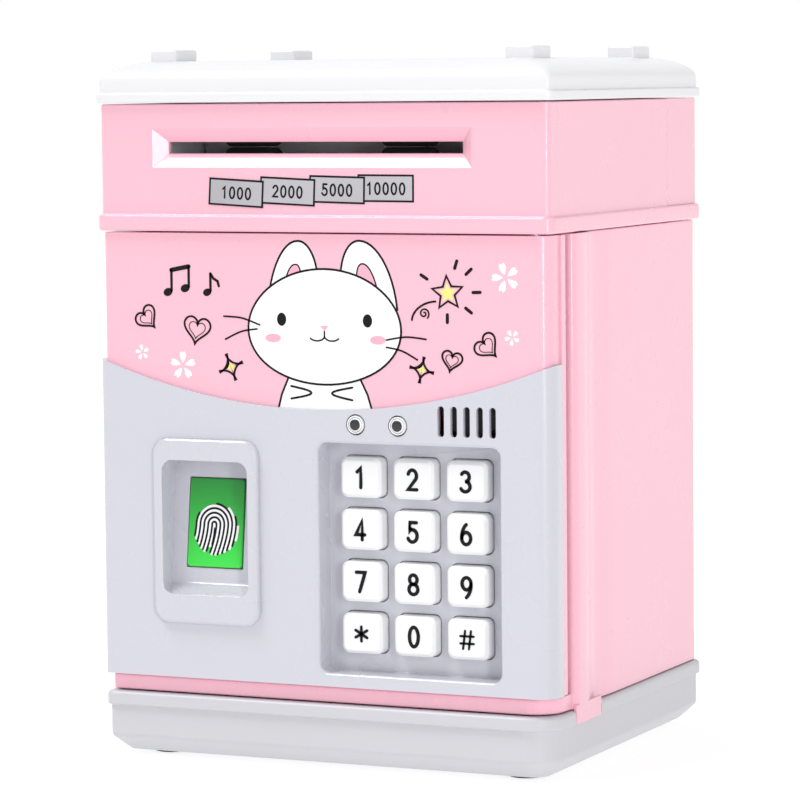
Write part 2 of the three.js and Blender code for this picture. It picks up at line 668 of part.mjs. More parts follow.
// The curved plate behind the rollers that turns the bill down into the vault.
function billGuide() {
  const back = rollerY + rollerRadius + 8;
  const top = idlerZ + 2.5;
  const low = headBottom + wall + seam;
  const radius = 9;
  const face = new THREE.Shape();
  face.moveTo(back, low);
  face.lineTo(back + 1.4, low);
  face.lineTo(back + 1.4, top - radius - 1.4);
  face.absarc(back - radius, top - radius - 1.4, radius + 1.4, 0, Math.PI / 2.4);
  face.absarc(back - radius, top - radius - 1.4, radius, Math.PI / 2.4, 0, true);
  return across(face, cheekLeft + 0.6, cheekRight - 0.6, 5);
}

place('bill_guide', billGuide(), innerPlastic);

// ---------------------------------------------------------------- door
const recessRight = halfW - recessFromHinge;
const recessWidth = recessMarginLeft + (keyColumns - 1) * keyPitchX + keyWidth + recessMarginRight;
const recessLeft = recessRight - recessWidth;
const recessBottom = doorBottom + recessLow;
const recessTop = recessBottom + recessMarginBottom + (keyRows - 1) * keyPitchZ + keyHeight + recessMarginTop;
const recessBack = fasciaFront + recessDepth;
const firstKeyX = recessLeft + recessMarginLeft + keyWidth / 2;
const firstKeyZ = recessTop - recessMarginTop - keyHeight / 2;
const arcLow = doorBottom + fasciaArcLow;
const ledZ = recessTop + ledAboveRecess;
const grilleZ = recessTop + grilleAboveRecess;
const grilleRight = recessRight - 1.8;

const printLeft = -halfW + printFromLeft;
const printRight = printLeft + printWidth;
const printFrameTop = recessTop + printFromKeys;
const printFrameLow = printFrameTop - printHeight;
const openLeft = printLeft + printSide;
const openRight = printRight - printSide;
const openTop = printFrameTop - printTop;
const openLow = printFrameLow + printBottom;
const slopeFoot = openLow + rampRise;
const slopeY = (z) => fasciaFront + printFootDepth + (z - slopeFoot) * windowSlope;

const ledSpots = ['left', 'right'].map((side, i) => ({ side, x: recessLeft + ledFromRecess + i * ledPitch }));

function grilleTools(y0, y1, spare) {
  return Array.from({ length: grilleSlots }, (_, i) => {
    const x = grilleRight - (grilleSlots - 1 - i) * grillePitch;
    const half = grilleSlotWidth / 2 + spare;
    return sinkIn(outline(x - half, x + half, grilleZ - grilleSlotHeight / 2 - spare,
      grilleZ + grilleSlotHeight / 2 + spare, half * 0.9), y0, y1, 2);
  });
}

function doorShell() {
  const plan = outline(doorLeft, doorRight, doorFront, doorRear,
    [doorLockRadius, doorFrontRadius, doorRearRadius, doorRearRadius]);
  const hollow = block(doorLeft + doorWall, doorHollowRight, doorFront + doorWall, doorRear + 1,
    doorBottom + doorWall, doorTop - doorWall);
  const spare = recessWall + seam + 0.1;
  const forKeys = block(recessLeft - spare, recessRight + spare, doorFront - 1, doorFront + doorWall + 1,
    recessBottom - spare, recessTop + spare);
  const forPrint = block(openLeft - printWall - 0.4, openRight + printWall + 0.4, doorFront - 1,
    doorFront + doorWall + 1, openLow - printWall - 0.5, openTop + printWall + 0.5);
  const forLeds = ledSpots.map(({ x }) =>
    rod('y', ledRadius + 0.7, doorFront - 1, doorFront + doorWall + 1, x, ledZ));
  const forGrille = sinkIn(outline(grilleRight - (grilleSlots - 1) * grillePitch - 1.6, grilleRight + 1.6,
    grilleZ - grilleSlotHeight / 2 - 0.6, grilleZ + grilleSlotHeight / 2 + 0.6, 0.6),
  doorFront - 1, doorFront + doorWall + 1, 1);
  const pins = [[doorBottom - 1, doorBottom + pinInDoor], [doorTop - pinInDoor, doorTop + 1]].map(([a, b]) =>
    rod('z', pinRadius + seam, a, b, hingeX, hingeY));
  const lip = outline(doorLeft - doorLipProud, doorRight + doorLipProud, doorRear - doorLipDepth, doorRear,
    [0.3, 0.3, doorRearRadius, doorRearRadius]);
  const outside = join(raise(plan, doorBottom, doorTop, 6), raise(lip, doorBottom, doorTop, 6));
  return cut(outside, hollow, forKeys, forPrint, forGrille, ...forLeds, ...pins);
}

const doorParts = new THREE.Group();
safe.add(doorParts);
place('door_shell', doorShell(), pink, doorParts);

function doorFascia() {
  const side = 1;
  const skirtGap = seam;
  const outer = outline(doorLeft - side, doorRight + side, fasciaFront, doorRear - doorLipDepth - seam,
    [doorLockRadius + 0.4, doorFrontRadius + 0.6, 0.5, 0.5]);
  const inner = outline(doorLeft - skirtGap, doorRight + skirtGap, doorFront - skirtGap, doorRear + 9,
    [doorLockRadius - 0.2, doorFrontRadius, 0.5, 0.5]);
  const height = doorTop - doorBottom;
  const tub = block(recessLeft - recessWall, recessRight + recessWall, doorFront - skirtGap - 0.4,
    recessBack + recessFloor, recessBottom - recessWall, recessTop + recessWall);
  const wrap = cut(raise(outer, doorBottom, doorTop, 6), raise(inner, doorBottom - 1, doorTop + 1, 6));
  const above = rod('y', fasciaArcRadius, fasciaFront - 5, doorRear + 5, fasciaArcShift,
    arcLow + fasciaArcRadius, 240);
  const aboveAll = block(-halfW * 2, halfW * 2, fasciaFront - 5, doorRear + 5,
    doorBottom + height * 0.78, doorTop + 20);
  const recess = sinkIn(outline(recessLeft, recessRight, recessBottom, recessTop, 2.4),
    fasciaFront - 1, recessBack, 3);
  const keyHoles = keySpots.map(({ x, z }) => sinkIn(outline(x - keyWidth / 2 - keyClear,
    x + keyWidth / 2 + keyClear, z - keyHeight / 2 - keyClear, z + keyHeight / 2 + keyClear,
    keyCorner), recessBack - 1, recessBack + recessFloor + 1, 2));
  const forPrint = block(openLeft - printWall - seam, openRight + printWall + seam, fasciaFront - 1,
    doorFront + 1, openLow - printWall - 0.4, openTop + printWall + seam);
  const forLeds = ledSpots.map(({ x }) =>
    rod('y', ledRadius + seam, fasciaFront - 1, doorFront, x, ledZ));
  return cut(join(wrap, tub), above, aboveAll, recess, forPrint, ...keyHoles, ...forLeds,
    ...grilleTools(fasciaFront - 1, doorFront, 0));
}

const keyNames = ['1', '2', '3', '4', '5', '6', '7', '8', '9', 'star', '0', 'hash'];
const keySpots = keyNames.map((label, i) => ({
  label,
  x: firstKeyX + (i % keyColumns) * keyPitchX,
  z: firstKeyZ - Math.floor(i / keyColumns) * keyPitchZ,
}));

place('door_fascia', doorFascia(), lavender, doorParts);

const keyFront = fasciaFront + keySunk;
const flangeFront = recessBack + recessFloor + seam;
const flangeBack = flangeFront + keyFlangeThick;
const flangeHalfX = Math.min(keyWidth / 2 + keyFlange, keyPitchX / 2 - 0.4);
const flangeHalfZ = Math.min(keyHeight / 2 + keyFlange, keyPitchZ / 2 - 0.4);

for (const { label, x, z } of keySpots) {
  const cap = outline(x - keyWidth / 2 + keyBevel, x + keyWidth / 2 - keyBevel,
    z - keyHeight / 2 + keyBevel, z + keyHeight / 2 - keyBevel, keyCorner - keyBevel);
  const stemLength = flangeBack - keyFront;
  const capBody = extrude(cap, stemLength, {
    bevelEnabled: true, bevelThickness: keyBevel, bevelSize: keyBevel, bevelSegments: 1, curveSegments: 2,
  }).rotateX(Math.PI / 2).translate(0, keyFront + keyBevel + stemLength, 0);
  const trimmed = keep(capBody, block(x - keyWidth, x + keyWidth, keyFront - 1, flangeBack,
    z - keyHeight, z + keyHeight));
  const flange = block(x - flangeHalfX, x + flangeHalfX, flangeFront, flangeBack,
    z - flangeHalfZ, z + flangeHalfZ);
  place(`key_${label}`, join(trimmed, flange), keyWhite, doorParts);
}

const matFront = flangeBack + keyTravel + seam;
const matLeft = firstKeyX - flangeHalfX;
const matRight = firstKeyX + (keyColumns - 1) * keyPitchX + flangeHalfX;
const matTop = firstKeyZ + flangeHalfZ;
const matLow = firstKeyZ - (keyRows - 1) * keyPitchZ - flangeHalfZ;
place('keypad_mat', block(matLeft, matRight, matFront, matFront + 1, matLow, matTop), rubber, doorParts);
place('keypad_board', block(matLeft - 0.8, matRight + 0.8, matFront + 1 + seam, matFront + 2.6 + seam,
  matLow - 0.4, matTop + 3), boardGreen, doorParts);

for (const { side, x } of ledSpots) {
  const back = doorFront + doorWall + 3;
  const profile = [[0, 0], [ledRadius, 0]];
  const length = back - fasciaFront - 0.6;
  for (let i = 0; i <= 4; i += 1) {
    const turn = (i * Math.PI) / 8;
    profile.push([ledRadius * Math.cos(turn), length + 1.3 * Math.sin(turn)]);
  }
  const points = profile.map(([r, h]) => new THREE.Vector2(Math.max(r, 0), h));
  points[points.length - 1].x = 0;
  place(`indicator_led_${side}`,
    new THREE.LatheGeometry(points, 16).rotateX(Math.PI).translate(x, back, ledZ), keyWhite, doorParts);
}

const speakerX = grilleRight - ((grilleSlots - 1) * grillePitch) / 2;
const speakerZ = recessTop + recessWall + speakerRadius + 0.8;
place('speaker', join(
  rod('y', speakerRadius, doorFront + doorWall + seam, doorFront + doorWall + seam + 2,
    speakerX, speakerZ, 24),
  rod('y', speakerRadius * 0.55, doorFront + doorWall + 2, doorFront + doorWall + seam + speakerThick,
    speakerX, speakerZ)), darkPlastic, doorParts);

// ---------------------------------------------------------------- fingerprint unit
const windowX = (openLeft + openRight) / 2;
const windowZ = slopeFoot + windowAboveRamp + (windowLength / 2) * Math.cos(Math.atan(windowSlope));
const windowUnit = new THREE.Group();
windowUnit.position.set(windowX, slopeY(windowZ), windowZ);
windowUnit.rotation.x = -Math.atan(windowSlope);
doorParts.add(windowUnit);

function fingerprintHousing() {
  const frame = sinkIn(outline(printLeft, printRight, printFrameLow, printFrameTop, printRadius),
    fasciaFront - printProud, fasciaFront - seam, 5);
  const back = printWall + 0.1;
  const outerLow = openLow - printWall;
  const outerTop = openTop + printWall;
  const tubFront = fasciaFront - seam - 0.5;
  const tub = across(polygon([[tubFront, outerLow], [slopeY(slopeFoot - 0.8) + back, slopeFoot - 0.8],
    [slopeY(outerTop) + back, outerTop], [tubFront, outerTop]]),
  openLeft - printWall, openRight + printWall);
  const front = fasciaFront - printProud - 1;
  const sloped = across(polygon([[front, openLow], [fasciaFront - 0.8, openLow],
    [slopeY(slopeFoot), slopeFoot], [slopeY(openTop), openTop], [front, openTop]]), openLeft, openRight);
  const mouth = keep(sloped, sinkIn(outline(openLeft, openRight, openLow, openTop, openRadius),
    front - 1, doorRear, 5));
  const hole = block(-windowWidth / 2 - seam, windowWidth / 2 + seam, -5, 5,
    -windowLength / 2 - seam, windowLength / 2 + seam);
  windowUnit.updateMatrix();
  return cut(join(frame, tub), mouth, hole.applyMatrix4(windowUnit.matrix));
}

place('fingerprint_housing', fingerprintHousing(), lavender, doorParts);

const windowWallBack = (printWall + 0.1) * Math.cos(Math.atan(windowSlope));
place('fingerprint_window', join(
  block(-windowWidth / 2, windowWidth / 2, -windowProud, windowWallBack + seam + 0.5,
    -windowLength / 2, windowLength / 2),
  block(-windowWidth / 2 - windowFlange, windowWidth / 2 + windowFlange, windowWallBack + seam,
    windowThick + seam, -windowLength / 2 - windowFlange, windowLength / 2 + windowFlange)),
glowGreen, windowUnit);
const padBack = windowThick + seam + windowTravel;
place('fingerprint_board', block(-windowWidth / 2 - 1, windowWidth / 2 + 1, padBack + 0.4, padBack + 1.8,
  -windowLength / 2, windowLength / 2), boardGreen, windowUnit);

// ---------------------------------------------------------------- rear box of the door, lock and pins
function doorBackCover() {
  const left = doorLeft + doorWall + 0.4;
  const right = doorHollowRight - 0.4;
  const low = doorBottom + doorWall + 0.4;
  const high = doorTop - doorWall - 0.4;
  const front = doorRear - seam - coverSheet;
  const flange = block(left, right, front, doorRear - seam, low, high);
  const bulge = raise(outline(bulgeLeft, right, front, bulgeRear, [0.5, 0.5, 3, 3]), low, high);
  const hollow = block(bulgeLeft + coverSheet, right - coverSheet, front - 1, bulgeRear - coverSheet,
    low + coverSheet, high - coverSheet);
  const boltHole = block(bulgeLeft - 1, bulgeLeft + coverSheet + 1, boltY - boltThick / 2 - boltClear,
    boltY + boltThick / 2 + boltClear, boltZ - boltWidth / 2 - boltClear, boltZ + boltWidth / 2 + boltClear);
  return cut(join(flange, bulge), hollow, boltHole);
}

place('door_back_cover', doorBackCover(), pink, doorParts);

const boltTip = bulgeLeft + 0.2;
const plungerReach = 12;
place('lock_bolt', join(
  block(boltTip, boltTip + boltLength, boltY - boltThick / 2, boltY + boltThick / 2,
    boltZ - boltWidth / 2, boltZ + boltWidth / 2),
  rod('x', plungerRadius, boltTip + boltLength - 1, boltTip + boltLength + plungerReach, boltY, boltZ, 12)),
steel, doorParts);
place('lock_solenoid', cut(
  block(boltTip + boltLength + 0.6, boltTip + boltLength + 0.6 + solenoidLength,
    bulgeRear - coverSheet - seam - solenoidThick, bulgeRear - coverSheet - seam,
    boltZ - solenoidHeight / 2, boltZ + solenoidHeight / 2),
  rod('x', plungerRadius + 0.4, boltTip, boltTip + boltLength + plungerReach + 1.5, boltY, boltZ, 12)),
darkPlastic, doorParts);

for (const [end, from, to] of [
  ['bottom', doorBottom + pinInDoor - seam - pinLength, doorBottom + pinInDoor - seam],
  ['top', doorTop - pinInDoor + seam, doorTop - pinInDoor + seam + pinLength]]) {
  place(`hinge_pin_${end}`, rod('z', pinRadius, from, to, hingeX, hingeY), steel, doorParts);
}

export default safe;
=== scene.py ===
"""Looks for a toy safe coin bank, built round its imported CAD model.

The big mouldings, the keys, the finger pad and the prints are made here in fine mesh and stand for
their CAD nodes; the other nodes stay as they are and get edges and a material.
Lengths are millimetres in the model's frame, and MM turns them into Blender's metres.
"""
import math

import bmesh
import bpy
from mathutils import Matrix, Vector


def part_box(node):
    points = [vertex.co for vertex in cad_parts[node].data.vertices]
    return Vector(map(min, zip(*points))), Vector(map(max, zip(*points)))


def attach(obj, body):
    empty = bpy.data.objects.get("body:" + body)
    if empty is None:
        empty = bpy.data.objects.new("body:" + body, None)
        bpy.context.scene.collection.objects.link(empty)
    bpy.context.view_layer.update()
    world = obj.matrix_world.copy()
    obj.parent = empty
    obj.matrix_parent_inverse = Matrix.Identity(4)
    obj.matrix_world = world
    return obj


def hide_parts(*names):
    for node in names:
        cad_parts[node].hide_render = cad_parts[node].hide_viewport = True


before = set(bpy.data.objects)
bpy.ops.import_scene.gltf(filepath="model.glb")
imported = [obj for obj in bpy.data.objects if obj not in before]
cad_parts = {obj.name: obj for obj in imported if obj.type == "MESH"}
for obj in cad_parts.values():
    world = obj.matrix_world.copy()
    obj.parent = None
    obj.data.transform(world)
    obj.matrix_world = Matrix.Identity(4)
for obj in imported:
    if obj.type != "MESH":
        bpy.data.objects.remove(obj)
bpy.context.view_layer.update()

MM = 0.001
CORNER_STEPS = 12             # steps round a quarter turn on a large corner
FINE_STEPS = 6                # the same on a small one

# ---- sizes that the boxes of the CAD nodes don't give, as in the CAD model ----
SEAM = 0.3
WALL = 2.4
RIM_PROUD, RIM_HEIGHT = 1.0, 3.9
BASE_CHAMFER, BASE_FLOOR, BASE_WALL = 4.4, 2.8, 2.6
BASE_SHARP, BASE_RADIUS = 1.5, 9.0
SILL_HEIGHT, SILL_LOCK_RADIUS, SILL_RADIUS = 4.2, 1.0, 8.0
BODY_REAR_RADIUS = 1.2
COLUMN_WIDTH, COLUMN_RADIUS, CROWN_FROM = 17.4, 2.3, 5.4
BEAD_PROUD, BEAD_HEIGHT = 1.1, 4.2
HEAD_RADIUS = 1.0
SLOT_WIDTH, SLOT_HEIGHT, SLOT_SHIFT, SLOT_DROP = 85.6, 3.0, -3.0, 11.7
SLOT_BEVEL, SLOT_DEPTH = 3.8, 3.0
PIN_BORE = 1.8
FLANGE_PROUD, FLANGE_HEIGHT = 1.3, 2.5
LID_WALL_PROUD, LID_WALL_HEIGHT = 0.4, 3.0
LID_SKIN, CROWN_SLOPE, CROWN_HEIGHT = 2.4, 12.0, 5.6
LUG_WIDTH, LUG_DEPTH, LUG_INSET_X, LUG_INSET_Y = 8.0, 12.5, 13.0, 18.0
COIN_LENGTH, COIN_WIDTH, COIN_Y = 32.0, 3.4, 20.0
DOOR_WALL, DOOR_LOCK_RADIUS, DOOR_RADIUS, DOOR_REAR_RADIUS, HINGE_BLOCK = 2.2, 0.8, 4.0, 1.6, 11.6
LIP_DEPTH, LIP_PROUD = 3.7, 0.7
BEHIND_DOOR = 3.0             # from the door's rear to the body's front
FASCIA_PROUD, ARC_RADIUS, ARC_LOW, ARC_X = 1.3, 178.0, 73.3, -1.0
KEY_FLANGE, KEY_BEVEL, KEY_CORNER = 1.1, 0.9, 1.9
RECESS_DEPTH, RECESS_WALL, RECESS_FLOOR, RECESS_RADIUS = 7.5, 1.2, 1.4, 2.4
RECESS_LEFT, RECESS_RIGHT = 3.7, 3.9      # from the mat's edge to the recess's
RECESS_BELOW, RECESS_ABOVE = 5.0, 3.8     # from the outer keys to the recess's edge
LAMP_RADIUS = 2.5
PRINT_PROUD, PRINT_RADIUS, OPEN_RADIUS = 1.7, 4.3, 3.0
PRINT_SIDE, PRINT_TOP, PRINT_BOTTOM, PRINT_WALL = 2.9, 5.8, 8.0, 1.3
WINDOW_ABOVE_RAMP = 4.3
RAMP_RISE, FOOT_DEPTH, WINDOW_SLOPE = 2.6, 3.4, 0.12
WINDOW_WIDTH, WINDOW_LENGTH, WINDOW_PROUD = 16.4, 23.8, 0.5
GRILLE_SLOTS, GRILLE_PITCH, GRILLE_WIDTH, GRILLE_HEIGHT = 5, 3.65, 1.8, 8.0
GRILLE_INSET, GRILLE_RISE = 1.8, 6.6      # of the last slot, from the recess's top right corner


class Span:
    """A CAD node's box, in millimetres."""

    def __init__(self, node):
        low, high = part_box(node)
        self.x0, self.y0, self.z0 = (value / MM for value in low)
        self.x1, self.y1, self.z1 = (value / MM for value in high)
        self.x, self.y, self.z = ((a + b) / 2 / MM for a, b in zip(low, high))


# ---------------------------------------------------------------- camera
def turned(angle_deg):
    return math.cos(math.radians(angle_deg)), math.sin(math.radians(angle_deg))


def make_camera():
    """A long lens in front of the door's right-hand side, a little above the middle."""
    azimuth, pitch, roll = 24.578, 4.848, -0.564
    cos_a, sin_a = turned(azimuth)
    cos_p, sin_p = turned(pitch)
    cos_r, sin_r = turned(roll)
    right = Vector((cos_a, sin_a, 0))
    back = Vector((sin_a * cos_p, -cos_a * cos_p, sin_p))
    up = back.cross(right)
    across, upward = right * cos_r + up * sin_r, up * cos_r - right * sin_r
    data = bpy.data.cameras.new("camera")
    data.lens, data.sensor_width = 169.59, 36
    data.shift_x, data.shift_y = -0.00874, -0.00485
    camera = bpy.data.objects.new("camera", data)
    bpy.context.scene.collection.objects.link(camera)
    turn = Matrix((across, upward, back)).transposed().to_4x4()
    camera.matrix_world = Matrix.Translation((0.43084, -0.94201, 0.18286)) @ turn
    bpy.context.scene.camera = camera


make_camera()


# ---------------------------------------------------------------- outlines
def arc(x, y, radius, start, end, steps):
    """Points on a circle between two angles in degrees."""
    return [(x + radius * c, y + radius * s)
            for c, s in (turned(start + (end - start) * i / steps) for i in range(steps + 1))]


def rounded(x0, x1, y0, y1, radii, steps=CORNER_STEPS):
    """A rectangle with round corners, anticlockwise from the low left one."""
    a, b, c, d = radii if isinstance(radii, (list, tuple)) else [radii] * 4
    return (arc(x0 + a, y0 + a, a, 180, 270, steps) + arc(x1 - b, y0 + b, b, 270, 360, steps)
            + arc(x1 - c, y1 - c, c, 0, 90, steps) + arc(x0 + d, y1 - d, d, 90, 180, steps))


def bow(x, z, reach_x, reach_z, start, end, steps=14):
    """Part of an ellipse between two angles."""
    return [(x + reach_x * c, z + reach_z * s)
            for c, s in (turned(start + (end - start) * i / steps) for i in range(steps + 1))]


def oval(x, z, reach_x, reach_z):
    return bow(x, z, reach_x, reach_z, 0, 345, 23)


def close(points):
    return list(points) + [points[0]]


def place_shape(points, x, z, scale=1, tilt=0):
    cos_t, sin_t = turned(tilt)
    return [(x + scale * (u * cos_t - v * sin_t), z + scale * (u * sin_t + v * cos_t)) for u, v in points]


def round_line(corners, closed=False, steps=4):
    """A line through (x, y, radius) corners, with each corner rounded to its radius."""
    points = []
    for i, (x, y, radius) in enumerate(corners):
        if radius == 0 or (not closed and i in (0, len(corners) - 1)):
            points.append((x, y))
            continue
        here = Vector((x, y))
        to_last = Vector(corners[i - 1][:2]) - here
        to_next = Vector(corners[(i + 1) % len(corners)][:2]) - here
        half = to_last.angle(to_next) / 2
        reach = min(radius / math.tan(half), to_last.length * 0.49, to_next.length * 0.49)
        inward = (to_last.normalized() + to_next.normalized()).normalized()
        centre = here + inward * (reach / math.cos(half))
        start = here + to_last.normalized() * reach - centre
        end = here + to_next.normalized() * reach - centre
        turn = start.angle(end)
        for k in range(steps + 1):
            share = k / steps
            spoke = (start * math.sin((1 - share) * turn) + end * math.sin(share * turn)) / math.sin(turn)
            points.append(tuple(centre + spoke))
    return points


# ---------------------------------------------------------------- meshes
def from_mesh_data(name, vertices, faces):
    mesh = bpy.data.meshes.new(name)
    mesh.from_pydata([[value * MM for value in v] for v in vertices], [], faces)
    obj = bpy.data.objects.new(name, mesh)
    bpy.context.scene.collection.objects.link(obj)
    bm = bmesh.new()
    bm.from_mesh(mesh)
    bmesh.ops.recalc_face_normals(bm, faces=bm.faces)
    bm.to_mesh(mesh)
    bm.free()
    return obj


def loft(name, rings):
    """A closed form through rings of equal length, capped at both ends."""
    count = len(rings[0])
    last = (len(rings) - 1) * count
    faces = [(r + i, r + (i + 1) % count, r + count + (i + 1) % count, r + count + i)
             for r in range(0, last, count) for i in range(count)]
    faces += [tuple(reversed(range(count))), tuple(range(last, last + count))]
    return from_mesh_data(name, [point for ring in rings for point in ring], faces)


def lie(u, v, level, axis):
    """A point of a flat outline: (x, y) at a height, (x, z) at a depth, or (y, z) at a side."""
    return {"z": (u, v, level), "y": (u, level, v), "x": (level, u, v)}[axis]


def prism(name, outline, low, high, axis="z"):
    return loft(name, [[lie(u, v, level, axis) for u, v in outline] for level in (low, high)])


def box(x0, x1, y0, y1, z0, z1):
    return prism("tool", [(x0, y0), (x1, y0), (x1, y1), (x0, y1)], z0, z1)


def circle(x, y, radius, steps):
    return arc(x, y, radius, 0, 360 * (1 - 1 / steps), steps - 1)


def rod(axis, radius, low, high, u, v, steps=32):
    return prism("tool", circle(u, v, radius, steps), low, high, axis)


def plate(u, v, width, height, radius, low, high, axis="z", steps=4):
    """A prism over a rounded rectangle about a point."""
    outline = rounded(u - width / 2, u + width / 2, v - height / 2, v + height / 2, radius, steps)
    return prism("plate", outline, low, high, axis)


def pin_bore(pin, low, high):
    return rod("z", PIN_BORE, low, high, pin.x, pin.y)


def stack(name, x, y, half_x, half_y, radius_at, profile, axis="z", steps=CORNER_STEPS):
    """A closed form through rounded rectangles about a point, from (growth, level) pairs."""
    def outline(grow):
        return rounded(x - half_x - grow, x + half_x + grow, y - half_y - grow, y + half_y + grow,
                       radius_at(grow), steps)

    return loft(name, [[lie(u, v, level, axis) for u, v in outline(grow)] for grow, level in profile])


def turned_form(name, profile, x, y, z, axis="z", steps=32):
    """A turned piece: (radius, height) pairs round an axis, closed at both ends."""
    rings = [[lie(u, v, level, axis) for u, v in circle(0, 0, max(radius, 0.02), steps)]
             for radius, level in profile]
    return loft(name, [[(a + x, b + y, c + z) for a, b, c in ring] for ring in rings])


def settle(obj):
    """Applies the modifiers."""
    graph = bpy.context.evaluated_depsgraph_get()
    mesh = bpy.data.meshes.new_from_object(obj.evaluated_get(graph))
    obj.modifiers.clear()
    obj.data = mesh
    return obj


def combine(obj, operation, tools):
    for tool in tools:
        modifier = obj.modifiers.new("shape", "BOOLEAN")
        modifier.operation, modifier.solver, modifier.object = operation, "EXACT", tool
        settle(obj)
        bpy.data.objects.remove(tool, do_unlink=True)
    return obj


def cut(obj, *tools):
    return combine(obj, "DIFFERENCE", tools)


def join(obj, *others):
    return combine(obj, "UNION", others)


def keep(obj, other):
    return combine(obj, "INTERSECT", [other])


def soften(obj, width, where=None, steps=3, sharpest=30):
    """Rounds the edges whose two ends both satisfy where, a test on a point in millimetres."""
    bm = bmesh.new()
    bm.from_mesh(obj.data)
    bmesh.ops.remove_doubles(bm, verts=bm.verts, dist=0.002 * MM)
    limit = math.radians(sharpest)
    edges = [e for e in bm.edges if e.is_manifold and e.calc_face_angle(0) > limit
             and (where is None or all(where(*(v.co / MM)) for v in e.verts))]
    bmesh.ops.bevel(bm, geom=edges, offset=width * MM, offset_type="OFFSET", segments=steps, profile=0.5,
                    affect="EDGES", clamp_overlap=True, loop_slide=True)
    bmesh.ops.recalc_face_normals(bm, faces=bm.faces)
    bm.to_mesh(obj.data)
    bm.free()
    return obj


def dress(obj, material, body, slot, *nodes, smooth=35):
    """Shading, material and body of a finished piece, and the CAD nodes that it stands for; slot is not
    used.
    """
    obj.data.materials.clear()
    obj.data.materials.append(material)
    obj.data.shade_smooth()
    obj.data.set_sharp_from_angle(angle=math.radians(smooth))
    normals = obj.modifiers.new("normals", "WEIGHTED_NORMAL")
    normals.keep_sharp = True
    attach(obj, body)
    if nodes:
        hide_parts(*nodes)
    return obj


def polish(node, material, edge=0.25):
    """A CAD node that stays: its edges are rounded by modifiers, and it gets its material."""
    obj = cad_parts[node]
    obj.data.materials.clear()
    obj.data.materials.append(material)
    weld = obj.modifiers.new("weld", "WELD")
    weld.merge_threshold = 0.001 * MM
    flat = obj.modifiers.new("flat", "DECIMATE")
    flat.decimate_type, flat.angle_limit = "DISSOLVE", math.radians(1)
    bevel = obj.modifiers.new("edges", "BEVEL")
    bevel.width, bevel.segments, bevel.limit_method = edge * MM, 2, "ANGLE"
    bevel.angle_limit, bevel.harden_normals = math.radians(32), True
    return obj


# ---------------------------------------------------------------- materials
def shader_of(name, colour, roughness, **inputs):
    """A plain material; further inputs of its surface are given by name."""
    material = bpy.data.materials.new(name)
    material.use_nodes = True
    shader = material.node_tree.nodes["Principled BSDF"]
    shader.inputs["Base Color"].default_value = (*colour, 1)
    shader.inputs["Roughness"].default_value = roughness
    for key, value in inputs.items():
        shader.inputs[key.replace("_", " ")].default_value = value
    return material


def add_node(material, kind, **inputs):
    """A new node with some of its inputs set."""
    node = material.node_tree.nodes.new("ShaderNode" + kind)
    for key, value in inputs.items():
        node.inputs[key.replace("_", " ")].default_value = value
    return node


def drive(material, key, output):
    """Lets another node's output set an input of the surface."""
    material.node_tree.links.new(output, material.node_tree.nodes["Principled BSDF"].inputs[key])


def noise(material, scale, detail):
    texture = add_node(material, "TexNoise", Scale=scale, Detail=detail)
    place = add_node(material, "TexCoord")
    material.node_tree.links.new(place.outputs["Object"], texture.inputs["Vector"])
    return texture.outputs["Fac"]


def vary_colour(material, factor, first, second):
    mix = add_node(material, "Mix")
    mix.data_type = "RGBA"
    mix.inputs["A"].default_value = (*first, 1)
    mix.inputs["B"].default_value = (*second, 1)
    material.node_tree.links.new(factor, mix.inputs["Factor"])
    drive(material, "Base Color", mix.outputs["Result"])


def spread(material, value, from_low, from_high, low, high):
    remap = add_node(material, "MapRange", From_Min=from_low, From_Max=from_high, To_Min=low, To_Max=high)
    material.node_tree.links.new(value, remap.inputs["Value"])
    return remap.outputs["Result"]


def grain(material, scale, depth):
    """A fine texture in the surface; depth is in millimetres."""
    bump = add_node(material, "Bump", Strength=1, Distance=depth * MM)
    material.node_tree.links.new(noise(material, scale, 2), bump.inputs["Height"])
    drive(material, "Normal", bump.outputs["Normal"])


def moulded(name, colour, roughness, drift=0.015, uneven=0.04, grain_scale=2400, grain_depth=0, **inputs):
    """Moulded plastic: tone that drifts slowly, uneven gloss and, with a depth, an eroded grain."""
    material = shader_of(name, colour, roughness, **inputs)
    light = [min(value * (1 + drift), 1) for value in colour]
    dark = [value * (1 - drift) for value in colour]
    vary_colour(material, noise(material, 26, 3), dark, light)
    gloss = noise(material, 60, 2)
    drive(material, "Roughness", spread(material, gloss, 0, 1, roughness - uneven, roughness + uneven))
    if grain_depth:
        grain(material, grain_scale, grain_depth)
    return material


def painted_shade_by_height(material, low, high, first, second):
    """Painted shade: colour that changes with height, from first at low to second at high, in millimetres.
    """
    place = add_node(material, "TexCoord")
    split = add_node(material, "SeparateXYZ")
    material.node_tree.links.new(place.outputs["Object"], split.inputs["Vector"])
    vary_colour(material, spread(material, split.outputs["Z"], low * MM, high * MM, 0, 1), first, second)


